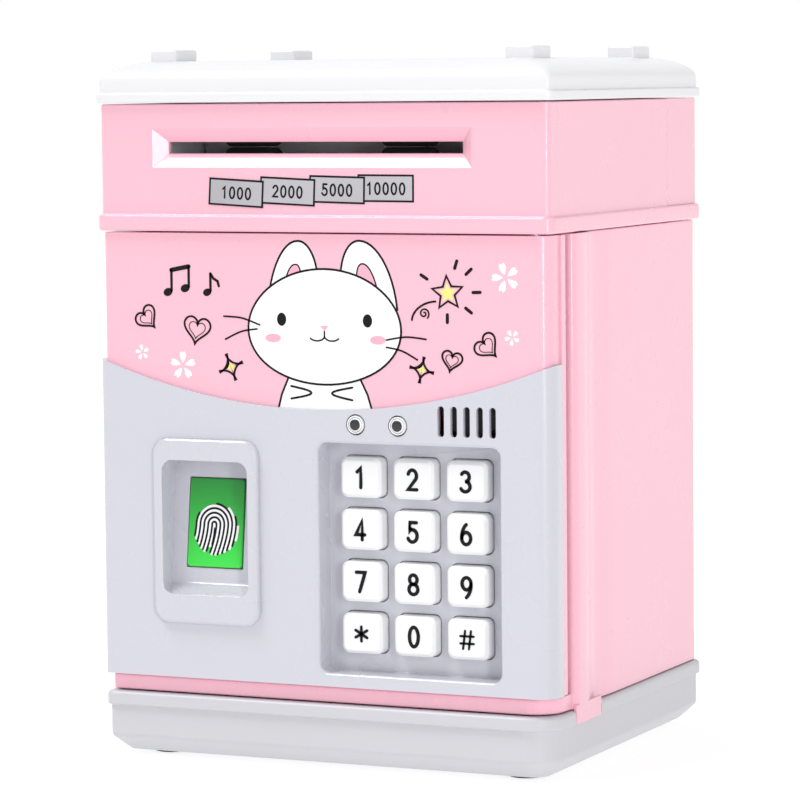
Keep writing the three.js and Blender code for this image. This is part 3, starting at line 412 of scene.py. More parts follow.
pink = moulded("pink_plastic", (0.885, 0.478, 0.58), 0.28, Coat_Weight=0.4)
white = moulded("white_plastic", (0.77, 0.77, 0.79), 0.3, drift=0.01)
lavender = moulded("lavender_plastic", (0.58, 0.577, 0.64), 0.27, drift=0.01, Coat_Weight=0.7)
base_grey = moulded("base_plastic", (0.565, 0.565, 0.60), 0.36)
key_white = moulded("key_plastic", (0.85, 0.85, 0.865), 0.3, drift=0.01)
inner = moulded("inner_plastic", (0.8, 0.79, 0.82), 0.5, grain_depth=0.008)
acetal = moulded("gear_plastic", (0.84, 0.81, 0.7), 0.42, drift=0.05)
dark = moulded("dark_plastic", (0.028, 0.026, 0.03), 0.5, drift=0.2, grain_depth=0.01)
rubber = moulded("black_rubber", (0.03, 0.03, 0.03), 0.75, drift=0.25, grain_scale=1500, grain_depth=0.02)
board = moulded("circuit_board", (0.02, 0.18, 0.07), 0.35, drift=0.15)
steel = moulded("plated_steel", (0.62, 0.63, 0.65), 0.28, drift=0.06, uneven=0.08, grain_depth=0.002,
                Metallic=1)
sleeve = moulded("battery_sleeve", (0.03, 0.035, 0.05), 0.28, drift=0.1)
ink = shader_of("black_ink", (0.006, 0.006, 0.008), 0.5, Specular_IOR_Level=0.2)
white_ink = shader_of("white_ink", (0.93, 0.93, 0.94), 0.42)
blush_ink = shader_of("rose_ink", (0.93, 0.42, 0.52), 0.42)
yellow_ink = shader_of("yellow_ink", (0.93, 0.83, 0.2), 0.42)
note_ink = moulded("note_ink", (0.46, 0.45, 0.48), 0.45, drift=0.3, grain_scale=3000)
lamp_glass = shader_of("lamp_lens", (0.82, 0.82, 0.84), 0.08, Coat_Weight=0.6)
lamp_core = shader_of("lamp_core", (0.03, 0.03, 0.035), 0.25)
window_green = moulded("window_green", (0.014, 0.57, 0.055), 0.16, grain_depth=0.001, Coat_Weight=0.5)
# painted shade and light: the green window goes from bright at its foot to dark at its top, where the
# frame's top lip shades it
painted_shade_by_height(window_green, 53, 76, (0.045, 0.72, 0.07), (0.012, 0.27, 0.035))


# ---------------------------------------------------------------- base
door = Span("door_shell")
body_front = door.y1 + BEHIND_DOOR
pin_low, pin_high = Span("hinge_pin_bottom"), Span("hinge_pin_top")


def spots(x, y):
    return [(sign_x * x, sign_y * y) for sign_x in (-1, 1) for sign_y in (-1, 1)]


def corner_radii(grow, *radii):
    """The corners' radii of an outline that has grown or shrunk."""
    return [max(radius + grow, 0.3) for radius in radii]


def base_plinth():
    cad = Span("base_plinth")
    half_x, half_y = cad.x1 - RIM_PROUD, cad.y1 - RIM_PROUD
    floor_top = cad.z0 + BASE_FLOOR
    profile = round_line([
        (-BASE_CHAMFER - 3, cad.z0, 0), (-BASE_CHAMFER, cad.z0, 1.2), (0, cad.z0 + BASE_CHAMFER, 2),
        (0, cad.z1 - RIM_HEIGHT, 0.3), (RIM_PROUD, cad.z1 - RIM_HEIGHT + 0.2, 0.7),
        (RIM_PROUD, cad.z1, 1.1), (-BASE_WALL, cad.z1, 0.3),
        (-BASE_WALL, floor_top + 1.6, 0.5), (-BASE_WALL - 3, floor_top, 0)])

    plinth = stack("base_plinth_moulding", 0, 0, half_x, half_y,
                   lambda grow: corner_radii(grow, BASE_SHARP, BASE_RADIUS, BASE_SHARP, BASE_SHARP), profile)

    cover, contact = Span("battery_cover"), Span("battery_contact_right")
    foot = Span("rubber_foot_front_right")
    ledge, tongue, gap, wall, roll = 2, 6, 0.35, 1.2, 4   # roll: room for the tilting rear edge
    tower_radius, screw_room, foot_radius = 3.8, 2.9, (foot.x1 - foot.x0) / 2 + SEAM
    room_x, room_y0, room_y1 = contact.x1 + SEAM, cover.y0 + tongue + ledge, cover.y1 - ledge
    tower_top = cad.z1 - SEAM
    screw_spots = spots(Span("base_screw_front_right").x, Span("base_screw_rear_right").y)
    join(plinth,
         box(-room_x - wall, room_x + wall, room_y0 - wall, room_y1 + wall, cad.z0 + 1, tower_top),
         *[rod("z", tower_radius, cad.z0 + 1, tower_top, x, y) for x, y in screw_spots])
    cut(plinth,
        box(-room_x, room_x, room_y0, room_y1, 0, cad.z1 + 1),
        box(cover.x0 - gap, cover.x1 + gap, room_y0 - ledge - gap, cover.y1 + gap, 0, cover.z1 + 0.2),
        box(cover.x0 - gap, cover.x1 + gap, cover.y1 - roll, cover.y1 + gap, 0, cover.z1 + 1.6),
        box(-tongue - gap, tongue + gap, cover.y0 - gap, room_y0, 0, cover.z1 + 0.2),
        column_notch(cad),
        *[rod("z", foot_radius, 0, foot.z1 + SEAM, x, y)
          for x, y in spots(foot.x, Span("rubber_foot_rear_right").y)],
        *[rod("z", screw_room, 0, cad.z0 + 3.2, x, y) for x, y in screw_spots])
    soften(plinth, 0.35, lambda x, y, z: abs(z - cad.z0) < 0.05
           and abs(x) < half_x - 6 and abs(y) < half_y - 6, steps=2)
    return dress(plinth, base_grey, "root", "grey_shell", "base_plinth")


def column_notch(cad):
    """Room in the base's rim for the foot of the hinge column."""
    return box(cad.x1 - 1.1, cad.x1 + 3, body_front - SEAM, body_front + COLUMN_WIDTH + SEAM,
               cad.z1 - RIM_HEIGHT, cad.z1 + 1)


# ---------------------------------------------------------------- body
def body_plan():
    """Plan of the body: the hinge column stands at the front right, with a hollow behind it."""
    cad = Span("body_shell")
    side, front, rear, crown = -cad.x0, body_front, cad.y1, cad.x1
    hollow_depth, hollow_at, flat_from, steps = 0.5, 18.4, 31, 14
    column = round_line([(crown - 6, front, 0), (crown, front, COLUMN_RADIUS),
                         (crown, front + CROWN_FROM, 0)], steps=8)

    def ease(share):
        return (1 - math.cos(math.pi * share)) / 2

    fall = [(crown + (side - hollow_depth - crown) * ease(i / steps),
             front + CROWN_FROM + (hollow_at - CROWN_FROM) * i / steps) for i in range(1, steps + 1)]
    rise = [(side - hollow_depth * (1 - ease(i / steps)),
             front + hollow_at + (flat_from - hollow_at) * i / steps) for i in range(1, steps + 1)]
    radius, lock_radius = BODY_REAR_RADIUS, 0.8
    return (arc(-side + lock_radius, front + lock_radius, lock_radius, 180, 270, 3) + column + fall + rise
            + arc(side - radius, rear - radius, radius, 0, 90, 6)
            + arc(-side + radius, rear - radius, radius, 90, 180, 6))


def body_shell():
    cad, base = Span("body_shell"), Span("base_plinth")
    bottom = base.z1 + SEAM
    side, front, rear = -cad.x0, body_front, cad.y1
    inner_side, sill_top = side - WALL, bottom + SILL_HEIGHT
    step_z, step_in = bottom + 8, 0.1
    levels = [(bottom, 0), (step_z - 0.3, 0), (step_z + 0.3, step_in), (cad.z1, step_in)]
    shell = loft("body_moulding", [[(x * (1 - inset / side), y, z) for x, y in body_plan()]
                                   for z, inset in levels])
    sill = prism("sill", rounded(-side, side, cad.y0, front + 4, [SILL_LOCK_RADIUS, SILL_RADIUS, 0.5, 0.5]),
                 bottom, sill_top)
    soften(sill, 0.7, lambda x, y, z: y < front - 0.5)
    join(shell, sill)
    cut(shell,
        box(-inner_side, inner_side, front + WALL, rear - WALL, bottom + WALL, cad.z1 + 1),
        box(-inner_side, inner_side, front - 1, front + WALL + 1, sill_top, cad.z1 + 1))
    foot_end, foot_in, foot_out = front + COLUMN_WIDTH, base.x1 - 0.8, base.x1 + 0.12
    foot_front, foot_side = front + 0.03, cad.x1 - 0.03
    foot_plan = round_line([
        (foot_in, foot_front, 0), (foot_side, foot_front, COLUMN_RADIUS), (foot_side, front + CROWN_FROM, 4),
        (foot_out, front + 13, 4), (foot_out, foot_end, 0.5), (foot_in, foot_end, 0)], closed=True, steps=8)
    foot = prism("foot", foot_plan, cad.z0, bottom + 1.2)
    bolt = Span("lock_bolt")
    catch_y = bolt.y0 - 3
    catch = box(-inner_side - 0.5, -inner_side + 4.2, catch_y, catch_y + 12.5, bolt.z - 8, bolt.z + 8)
    soften(catch, 0.8, lambda x, y, z: x > -inner_side)
    join(shell, foot, catch)
    clear = 0.4
    cut(shell,
        box(-inner_side - 0.8, -inner_side + 6, bolt.y0 - clear, bolt.y1 + clear,
            bolt.z0 - clear, bolt.z1 + clear),
        pin_bore(pin_low, sill_top - 3.4, sill_top + 1))
    soften(shell, 0.3, lambda x, y, z: z > cad.z1 - 0.05)
    soften(shell, 0.4, lambda x, y, z: abs(abs(x) - inner_side) < 0.05
           and y < front + 0.1 and z > sill_top + 0.1)
    return dress(shell, pink, "root", "pink_shell", "body_shell")


# ---------------------------------------------------------------- head
def head_radius(grow):
    return corner_radii(grow, HEAD_RADIUS, 1.7 * HEAD_RADIUS, HEAD_RADIUS, HEAD_RADIUS)


def head_shell():
    cad = Span("head_shell")
    half_x, half_y = cad.x1 - BEAD_PROUD, cad.y1 - BEAD_PROUD
    bead_top, floor = cad.z0 + BEAD_HEIGHT, cad.z0 + WALL
    profile = round_line([
        (-5, cad.z0, 0), (BEAD_PROUD, cad.z0, 0.7), (BEAD_PROUD, bead_top, 1), (0, bead_top + 0.1, 0.5),
        (0, cad.z1, 0.5), (-WALL, cad.z1, 0.3), (-WALL, floor, 0.6), (-WALL - 2, floor, 0)])
    shell = stack("head_moulding", 0, 0, half_x, half_y, head_radius, profile)
    split = Span("head_rear_cover").y0 - SEAM
    slot_z = cad.z1 - SLOT_DROP
    left, right = SLOT_SHIFT - SLOT_WIDTH / 2, SLOT_SHIFT + SLOT_WIDTH / 2
    low, high = slot_z - SLOT_HEIGHT / 2, slot_z + SLOT_HEIGHT / 2
    boss_back = -half_y + SLOT_DEPTH + 1.2
    cut(shell, box(-half_x - 1, half_x + 1, split, half_y + 2, bead_top + 0.1, cad.z1 + 1))
    join(shell, box(left - SLOT_BEVEL - 1, right + SLOT_BEVEL + 1, -half_y + WALL - 0.5, boss_back,
                    low - SLOT_BEVEL - 1.5, high + SLOT_BEVEL + 1.5))
    throat = -half_y + SLOT_DEPTH
    funnel = loft("funnel", [
        [(left - grow, y, low - grow), (right + grow, y, low - grow),
         (right + grow, y, high + grow), (left - grow, y, high + grow)]
        for y, grow in ((-half_y - 1, SLOT_BEVEL * (1 + 1 / SLOT_DEPTH)), (throat, 0), (boss_back + 1, 0))])
    drop_front = Span("drive_roller_left").y - 1
    chute, skin = Span("coin_chute"), 1.2
    cut(shell, funnel,
        box(left - 1, right + 1, drop_front, drop_front + 25, cad.z0 - 1, floor + 1),
        box(chute.x0 + skin, chute.x1 - skin, chute.y0 + skin, chute.y1 - skin, cad.z0 - 1, floor + 1),
        pin_bore(pin_high, cad.z0 - 1, cad.z0 + 3.4))
    reach = SLOT_BEVEL + 0.4
    soften(shell, 0.25, lambda x, y, z: y < -half_y + 0.05 and low - reach < z < high + reach
           and left - reach < x < right + reach, steps=2)
    soften(shell, 0.2, lambda x, y, z: abs(y - throat) < 0.05 and low - 0.1 < z < high + 0.1, steps=2)
    return dress(shell, pink, "root", "pink_shell", "head_shell", smooth=28)


def head_rear_cover():
    cad = Span("head_rear_cover")
    half_x, half_y = cad.x1, cad.y1
    cover = prism("head_rear_moulding", rounded(-half_x, half_x, -half_y, half_y, HEAD_RADIUS),
                  cad.z0 - 0.24, cad.z1)
    cut(cover,
        box(-half_x + WALL, half_x - WALL, -half_y - 1, half_y - WALL, cad.z0 - 1, cad.z1 + 1),
        box(-half_x - 1, half_x + 1, -half_y - 1, cad.y0, cad.z0 - 1, cad.z1 + 1))
    soften(cover, 0.2)
    return dress(cover, pink, "root", "pink_shell", "head_rear_cover")


# ---------------------------------------------------------------- lid
def top_lid():
    cad = Span("top_lid")
    half_x, half_y = cad.x1 - FLANGE_PROUD, cad.y1 - FLANGE_PROUD
    flange_top = cad.z0 + FLANGE_HEIGHT
    rim_top = flange_top + LID_WALL_HEIGHT
    crown_top = rim_top + CROWN_HEIGHT
    outside = round_line([
        (-LID_SKIN, cad.z0, 0), (FLANGE_PROUD, cad.z0, 0.4), (FLANGE_PROUD, flange_top, 0.8),
        (LID_WALL_PROUD, flange_top + 0.1, 0.3), (LID_WALL_PROUD, rim_top - 0.6, 0)])
    steps = 14
    crown = [(LID_WALL_PROUD - CROWN_SLOPE * (1 - c), rim_top + (CROWN_HEIGHT - 0.1) * s)
             for c, s in (turned(90 * i / steps) for i in range(steps + 1))]
    inside = [(-CROWN_SLOPE, crown_top - LID_SKIN), (-LID_SKIN - 1, rim_top - 1.4),
              (-LID_SKIN, rim_top - 1.6)]

    def radius_at(grow):
        """Sharp at the flange, and rounder towards the crown."""
        if grow > LID_WALL_PROUD - 0.01:
            return HEAD_RADIUS + grow
        return HEAD_RADIUS + LID_WALL_PROUD + (LID_WALL_PROUD - grow) * 0.35

    lid = stack("lid_moulding", 0, 0, half_x, half_y, radius_at, inside + outside + crown)
    for x, y in spots(half_x - LUG_INSET_X, half_y - LUG_INSET_Y):
        lug = plate(x, y, LUG_WIDTH, LUG_DEPTH, 1, rim_top + 1, cad.z1)
        soften(lug, 0.6, lambda x, y, z: z > cad.z1 - 0.01)
        join(lid, lug)
    cut(lid, plate(0, COIN_Y, COIN_LENGTH, COIN_WIDTH, 0.6, cad.z0 + 4, cad.z1 + 1))
    soften(lid, 0.5, lambda x, y, z: z > crown_top - 0.4 and abs(y - COIN_Y) < COIN_WIDTH / 2 + 0.1
           and abs(x) < COIN_LENGTH / 2 + 0.1)
    return dress(lid, white, "root", "white_shell", "top_lid")


# ---------------------------------------------------------------- door
shell_x0, shell_x1 = door.x0 + LIP_PROUD, door.x1 - LIP_PROUD
arc_low = door.z0 + ARC_LOW
face_y = door.y0 - FASCIA_PROUD
recess_x0, recess_x1 = Span("keypad_mat").x0 - RECESS_LEFT, Span("keypad_mat").x1 + RECESS_RIGHT
recess_z0 = Span("key_0").z0 + KEY_FLANGE - RECESS_BELOW
recess_z1 = Span("key_1").z1 - KEY_FLANGE + RECESS_ABOVE
print_frame = Span("fingerprint_housing")
open_x0, open_x1 = print_frame.x0 + PRINT_SIDE, print_frame.x1 - PRINT_SIDE
open_z0, open_z1 = print_frame.z0 + PRINT_BOTTOM, print_frame.z1 - PRINT_TOP
slope_foot = open_z0 + RAMP_RISE
lamps = [Span("indicator_led_left"), Span("indicator_led_right")]
grille_x1 = recess_x1 - GRILLE_INSET
grille_z = recess_z1 + GRILLE_RISE


def slope_y(z):
    return face_y + FOOT_DEPTH + (z - slope_foot) * WINDOW_SLOPE


def arc_z(x):
    """Height of the fascia's top edge."""
    return arc_low + ARC_RADIUS - math.sqrt(ARC_RADIUS ** 2 - (x - ARC_X) ** 2)


def outside_plan(x, y, x0, x1, y0, radii):
    """Distance outside a plan whose two front corners are round."""
    middle, half = (x0 + x1) / 2, (x1 - x0) / 2
    radius = radii[0] if x < middle else radii[1]
    dx, dy = abs(x - middle) - (half - radius), (y0 + radius) - y
    if dx > 0 and dy > 0:
        return math.hypot(dx, dy) - radius
    return max(dx, dy) - radius


def opening_block(front, back, x0, x1, z0, z1, more_x, more_z):
    """A block through the door, a little larger than the rectangle it is for."""
    return box(x0 - more_x, x1 + more_x, front, back, z0 - more_z, z1 + more_z)


def door_shell():
    def at_end(z):
        return z < door.z0 + 0.01 or z > door.z1 - 0.01

    lip_front = door.y1 - LIP_DEPTH
    plan = rounded(shell_x0, shell_x1, door.y0, lip_front + 0.2, [DOOR_LOCK_RADIUS, DOOR_RADIUS, 0.1, 0.1])
    shell = prism("door_moulding", plan, door.z0, door.z1)
    soften(shell, 0.6, lambda x, y, z: y < lip_front and at_end(z))
    lip_radii = [0.3, 0.3, DOOR_REAR_RADIUS, DOOR_REAR_RADIUS]
    lip = prism("lip", rounded(door.x0, door.x1, lip_front, door.y1, lip_radii), door.z0, door.z1)
    soften(lip, 0.3, lambda x, y, z: at_end(z))
    join(shell, lip)
    spare = RECESS_WALL + SEAM + 0.1
    front, through = door.y0 - 1, door.y0 + DOOR_WALL + 1
    grille_x0 = grille_x1 - (GRILLE_SLOTS - 1) * GRILLE_PITCH
    cut(shell,
        box(shell_x0 + DOOR_WALL, shell_x1 - HINGE_BLOCK, door.y0 + DOOR_WALL, door.y1 + 1,
            door.z0 + DOOR_WALL, door.z1 - DOOR_WALL),
        opening_block(front, through, recess_x0, recess_x1, recess_z0, recess_z1, spare, spare),
        opening_block(front, through, open_x0, open_x1, open_z0, open_z1,
                      PRINT_WALL + 0.4, PRINT_WALL + 0.5),
        opening_block(front, through, grille_x0, grille_x1, grille_z, grille_z,
                      1.6, GRILLE_HEIGHT / 2 + 0.6),
        *[rod("y", 3.2, front, through, lamp.x, lamp.z) for lamp in lamps],
        pin_bore(pin_low, door.z0 - 1, pin_low.z1 + SEAM),
        pin_bore(pin_high, pin_high.z0 - SEAM, door.z1 + 1))
    return dress(shell, pink, "door", "pink_shell", "door_shell")


def door_fascia():
    cad = Span("door_fascia")
    rear, gap = door.y1 - LIP_DEPTH - SEAM, 0.04
    front_radii = [DOOR_LOCK_RADIUS + 0.6, DOOR_RADIUS + 0.9]
    outer_plan = rounded(cad.x0, cad.x1, face_y, rear, [*front_radii, 0.5, 0.5])
    fascia = prism("fascia_moulding", outer_plan, door.z0, door.z1)
    inner_plan = rounded(shell_x0 - gap, shell_x1 + gap, door.y0 - gap, rear + 9,
                         [DOOR_LOCK_RADIUS, DOOR_RADIUS, 0.5, 0.5])
    above = arc(ARC_X, arc_low + ARC_RADIUS, ARC_RADIUS, 270 - 24, 270 + 24, 120)
    sky = above + [(75, door.z1 + 30), (-75, door.z1 + 30)]
    cut(fascia, prism("inner", inner_plan, door.z0 - 1, door.z1 + 1),
        prism("sky", sky, face_y - 5, rear + 5, "y"))

    def outside(x, y):
        return outside_plan(x, y, cad.x0, cad.x1, face_y, front_radii) > -0.05

    soften(fascia, 0.88, lambda x, y, z: z > arc_z(x) - 0.1 and outside(x, y), steps=6)
    soften(fascia, 0.5, lambda x, y, z: z < door.z0 + 0.1 and outside(x, y))
    recess_back = face_y + RECESS_DEPTH
    join(fascia, opening_block(door.y0 - 0.4, recess_back + RECESS_FLOOR, recess_x0, recess_x1,
                               recess_z0, recess_z1, RECESS_WALL, RECESS_WALL))
    recess = prism("recess", rounded(recess_x0, recess_x1, recess_z0, recess_z1, RECESS_RADIUS, 8),
                   face_y - 1, recess_back, "y")
    grow = SEAM - KEY_FLANGE
    hole_plans = [rounded(key.x0 - grow, key.x1 + grow, key.z0 - grow, key.z1 + grow, KEY_CORNER, 4)
                  for key in (Span(f"key_{label}") for label in KEY_LABELS)]
    holes = [prism("hole", plan, recess_back - 1, recess_back + 3, "y") for plan in hole_plans]
    front, through = face_y - 1, door.y0 + 1
    slots = [plate(grille_x1 - i * GRILLE_PITCH, grille_z, GRILLE_WIDTH, GRILLE_HEIGHT,
                   GRILLE_WIDTH / 2 * 0.98, front, through, "y", 6) for i in range(GRILLE_SLOTS)]
    cut(fascia, recess, *holes,
        box(open_x0 - PRINT_WALL - SEAM, open_x1 + PRINT_WALL + SEAM, front, through,
            open_z0 - PRINT_WALL - 0.4, open_z1 + PRINT_WALL + SEAM),
        *[rod("y", LAMP_RADIUS + 0.25, front, through, lamp.x, lamp.z, 40) for lamp in lamps],
        *slots)

    def on_face(y):
        return y < face_y + 0.02

    def at_recess_edge(x, z):
        return min(abs(x - recess_x0), abs(x - recess_x1), abs(z - recess_z0), abs(z - recess_z1)) < 0.9

    soften(fascia, 1.0, lambda x, y, z: on_face(y) and recess_x0 - 0.1 < x < recess_x1 + 0.1
           and recess_z0 - 0.1 < z < recess_z1 + 0.1, steps=5)
    soften(fascia, 0.35, lambda x, y, z: on_face(y) and z > recess_z1 + 1.5 and x > recess_x0)
    soften(fascia, 0.8, lambda x, y, z: abs(y - recess_back) < 0.02 and at_recess_edge(x, z))
    return dress(fascia, lavender, "door", "grey_shell", "door_fascia", smooth=28)


# ---------------------------------------------------------------- keys and their figures
def dial_figures():
    """The strokes of each plain figure, in a box one unit wide and one unit high."""
    six = [close(oval(0.5, 0.31, 0.5, 0.31)), bow(1.0, 0.31, 1.0, 0.8, 180, 118)]
    return {
        "1": [[(0.22, 0.8), (0.62, 1), (0.62, 0)]],
        "2": [bow(0.5, 0.71, 0.47, 0.29, 165, -38) + [(0.02, 0), (1, 0)]],
        "3": [bow(0.45, 0.76, 0.45, 0.24, 150, -90) + bow(0.45, 0.26, 0.53, 0.26, 90, -155)],
        "4": [[(0.72, 0), (0.72, 1), (0, 0.26), (1, 0.26)]],
        "5": [[(0.92, 1), (0.2, 1), (0.1, 0.55)] + bow(0.44, 0.32, 0.54, 0.32, 125, -155)],
        "6": six,
        "7": [[(0, 1), (1, 1), (0.36, 0)]],
        "8": [close(oval(0.5, 0.76, 0.42, 0.24)), close(oval(0.5, 0.26, 0.5, 0.26))],
        "9": [[(1 - u, 1 - v) for u, v in stroke] for stroke in six],
        "star": [[(0.5 - c / 2, 0.5 - s / 2), (0.5 + c / 2, 0.5 + s / 2)]
                 for c, s in map(turned, (90, 30, 150))],
        "0": [close(oval(0.5, 0.5, 0.5, 0.5))],
        "hash": [[(0.2, 0), (0.36, 1)], [(0.64, 0), (0.8, 1)], [(0, 0.3), (1, 0.3)], [(0, 0.7), (1, 0.7)]]}


FIGURES = dial_figures()
KEY_LABELS = list(FIGURES)


def write(layer, marks, x, z, width, height, stroke, pitch=0, tilt=0):
    """Draws figures in a row, centred on a point; stroke is the weight of the line."""
    for i, mark in enumerate(marks):
        shift = (i - (len(marks) - 1) / 2) * pitch
        for path in FIGURES[mark]:
            points = [((u - 0.5) * (width - stroke) + shift, (v - 0.5) * (height - stroke))
                      for u, v in path]
            layer.line(place_shape(points, x, z, 1, tilt), stroke)


def key(label):
    cad = Span(f"key_{label}")
    half_x, half_z = (cad.x1 - cad.x0) / 2 - KEY_FLANGE, (cad.z1 - cad.z0) / 2 - KEY_FLANGE
    flange_y, front = cad.y1 - 1, cad.y0 + 0.05
    profile = [(KEY_FLANGE, cad.y1), (KEY_FLANGE, flange_y), (0, flange_y)]
    profile += round_line([(0, flange_y - 0.1, 0), (-0.05, cad.y0 + KEY_BEVEL + 0.2, 0.6),
                           (-KEY_BEVEL, front, 0.7), (-KEY_BEVEL - 1.4, front, 0)])
    profile += [(-KEY_BEVEL - 2.6, cad.y0 + 0.12), (-KEY_BEVEL - 3.8, cad.y0 + 0.17)]
    cap = stack(f"key_cap_{label}", cad.x, cad.z, half_x, half_z,
                lambda grow: max(KEY_CORNER + grow * 0.6, 0.4), profile, "y", FINE_STEPS)
    dress(cap, key_white, f"button_{label}", "key_cap", f"key_{label}", smooth=40)
    size = {"star": (4.6, 4.6, 0.75), "hash": (4.4, 5.4, 0.6)}.get(label, (3.5, 6.1, 0.95))
    layer = Print(cad.y0, lift=0, sunk=0.3)
    write(layer, [label], cad.x, cad.z, *size)
    layer.piece(f"key_figure_{label}", ink, f"button_{label}", "dark_plastic")


# ---------------------------------------------------------------- finger pad
def window_z():
    """Height of the window's middle."""
    return slope_foot + WINDOW_ABOVE_RAMP + WINDOW_LENGTH / 2 * math.cos(math.atan(WINDOW_SLOPE))


def window_place():
    """From the window's own frame, level and round zero, to its place on the slope."""
    centre = Vector((Span("fingerprint_window").x, slope_y(window_z()), window_z()))
    return Matrix.Translation(centre * MM) @ Matrix.Rotation(-math.atan(WINDOW_SLOPE), 4, "X")


def fingerprint_housing():
    front = face_y - PRINT_PROUD
    frame_plan = rounded(print_frame.x0, print_frame.x1, print_frame.z0, print_frame.z1, PRINT_RADIUS)
    housing = prism("finger_frame_moulding", frame_plan, front, face_y - 0.03, "y")
    soften(housing, 1.15, lambda x, y, z: y < front + 0.01, steps=5)
    back, behind = PRINT_WALL + 0.1, face_y - 0.6
    low, high = open_z0 - PRINT_WALL, open_z1 + PRINT_WALL
    tub = prism("tub", [(behind, low), (slope_y(slope_foot - 0.8) + back, slope_foot - 0.8),
                        (slope_y(high) + back, high), (behind, high)],
                open_x0 - PRINT_WALL, open_x1 + PRINT_WALL, "x")
    join(housing, tub)
    ramp = round_line([(front - 2, open_z0 - 0.2, 0), (behind, open_z0, 1.2),
                       (slope_y(slope_foot), slope_foot, 1.6), (slope_y(open_z1), open_z1, 0.9),
                       (front - 2, open_z1, 0)], steps=6)
    mouth = prism("mouth", ramp, open_x0 - 1, open_x1 + 1, "x")
    opening = rounded(open_x0, open_x1, open_z0 - 0.1, open_z1, OPEN_RADIUS, 10)
    keep(mouth, prism("opening", opening, front - 3, door.y1, "y"))
    half_x, half_z = WINDOW_WIDTH / 2 + SEAM, WINDOW_LENGTH / 2 + SEAM
    hole = box(-half_x, half_x, -5, 5, -half_z, half_z)
    hole.data.transform(window_place())
    cut(housing, mouth, hole)
    soften(housing, 0.75, lambda x, y, z: y < front + 0.02 and open_x0 - 0.1 < x < open_x1 + 0.1
           and open_z0 - 0.4 < z < open_z1 + 0.1, steps=4)
    return dress(housing, lavender, "door", "grey_shell", "fingerprint_housing", smooth=28)


def strip(vertices, faces, path, width, front, back):
    """Adds a flat stroke along a path of (x, z) points, as a thin closed solid with round ends."""
    points = [Vector(p) for p in path]
    closed = (points[0] - points[-1]).length < 1e-6
    if closed:
        points.pop()
    count = len(points)
    left, right = [], []
    for i, p in enumerate(points):
        before = points[i - 1] if closed or i else p
        after = points[(i + 1) % count] if closed or i < count - 1 else p
        first, second = (p - before), (after - p)
        first = first.normalized() if first.length else second.normalized()
        second = second.normalized() if second.length else first
        along = (first + second).normalized() if (first + second).length > 1e-6 else second
        normal = Vector((-along.y, along.x))
        reach = width / 2 / max(normal.dot(Vector((-second.y, second.x))), 0.5)
        left.append(p + normal * reach)
        right.append(p - normal * reach)
    if closed:
        base = len(vertices)
        for ring, y in ((left, front), (right, front), (right, back), (left, back)):
            vertices.extend((q.x, y, q.y) for q in ring)
        for i in range(count):
            j = (i + 1) % count
            for a in range(4):
                near, far = base + a * count, base + (a + 1) % 4 * count
                faces.append((near + i, near + j, far + j, far + i))
        return

    def round_end(centre, side):
        spoke = side - centre
        return [centre + Vector((spoke.x * c - spoke.y * s, spoke.x * s + spoke.y * c))
                for c, s in map(turned, (36, 72, 108, 144))]

    outline = right + round_end(points[-1], right[-1]) + left[::-1] + round_end(points[0], left[0])
    slab(vertices, faces, outline, front, back)


def slab(vertices, faces, outline, front, back):
    """Adds a flat filled shape as a thin closed solid."""
    base, count = len(vertices), len(outline)
    for y in (front, back):
        vertices.extend((q[0], y, q[1]) for q in outline)
    faces.append(tuple(range(base, base + count)))
    faces.append(tuple(reversed(range(base + count, base + 2 * count))))
    for i in range(count):
        j = (i + 1) % count
        faces.append((base + i, base + count + i, base + count + j, base + j))


class Print:
    """One ink on a flat face, made of strokes and filled shapes that stand out by their lift."""

    def __init__(self, face, lift=0.08, sunk=0.05):
        self.vertices, self.faces, self.face, self.lift, self.back = [], [], face, lift, face + sunk

    def front(self, lift):
        return self.face - (self.lift if lift is None else lift)

    def line(self, path, width, lift=None):
        strip(self.vertices, self.faces, path, width, self.front(lift), self.back)

    def fill(self, outline, lift=None):
        slab(self.vertices, self.faces, outline, self.front(lift), self.back)

    def piece(self, name, material, body, slot, place=Matrix()):
        obj = from_mesh_data(name, self.vertices, self.faces)
        obj.data.transform(place)
        dress(obj, material, body, slot, smooth=20)


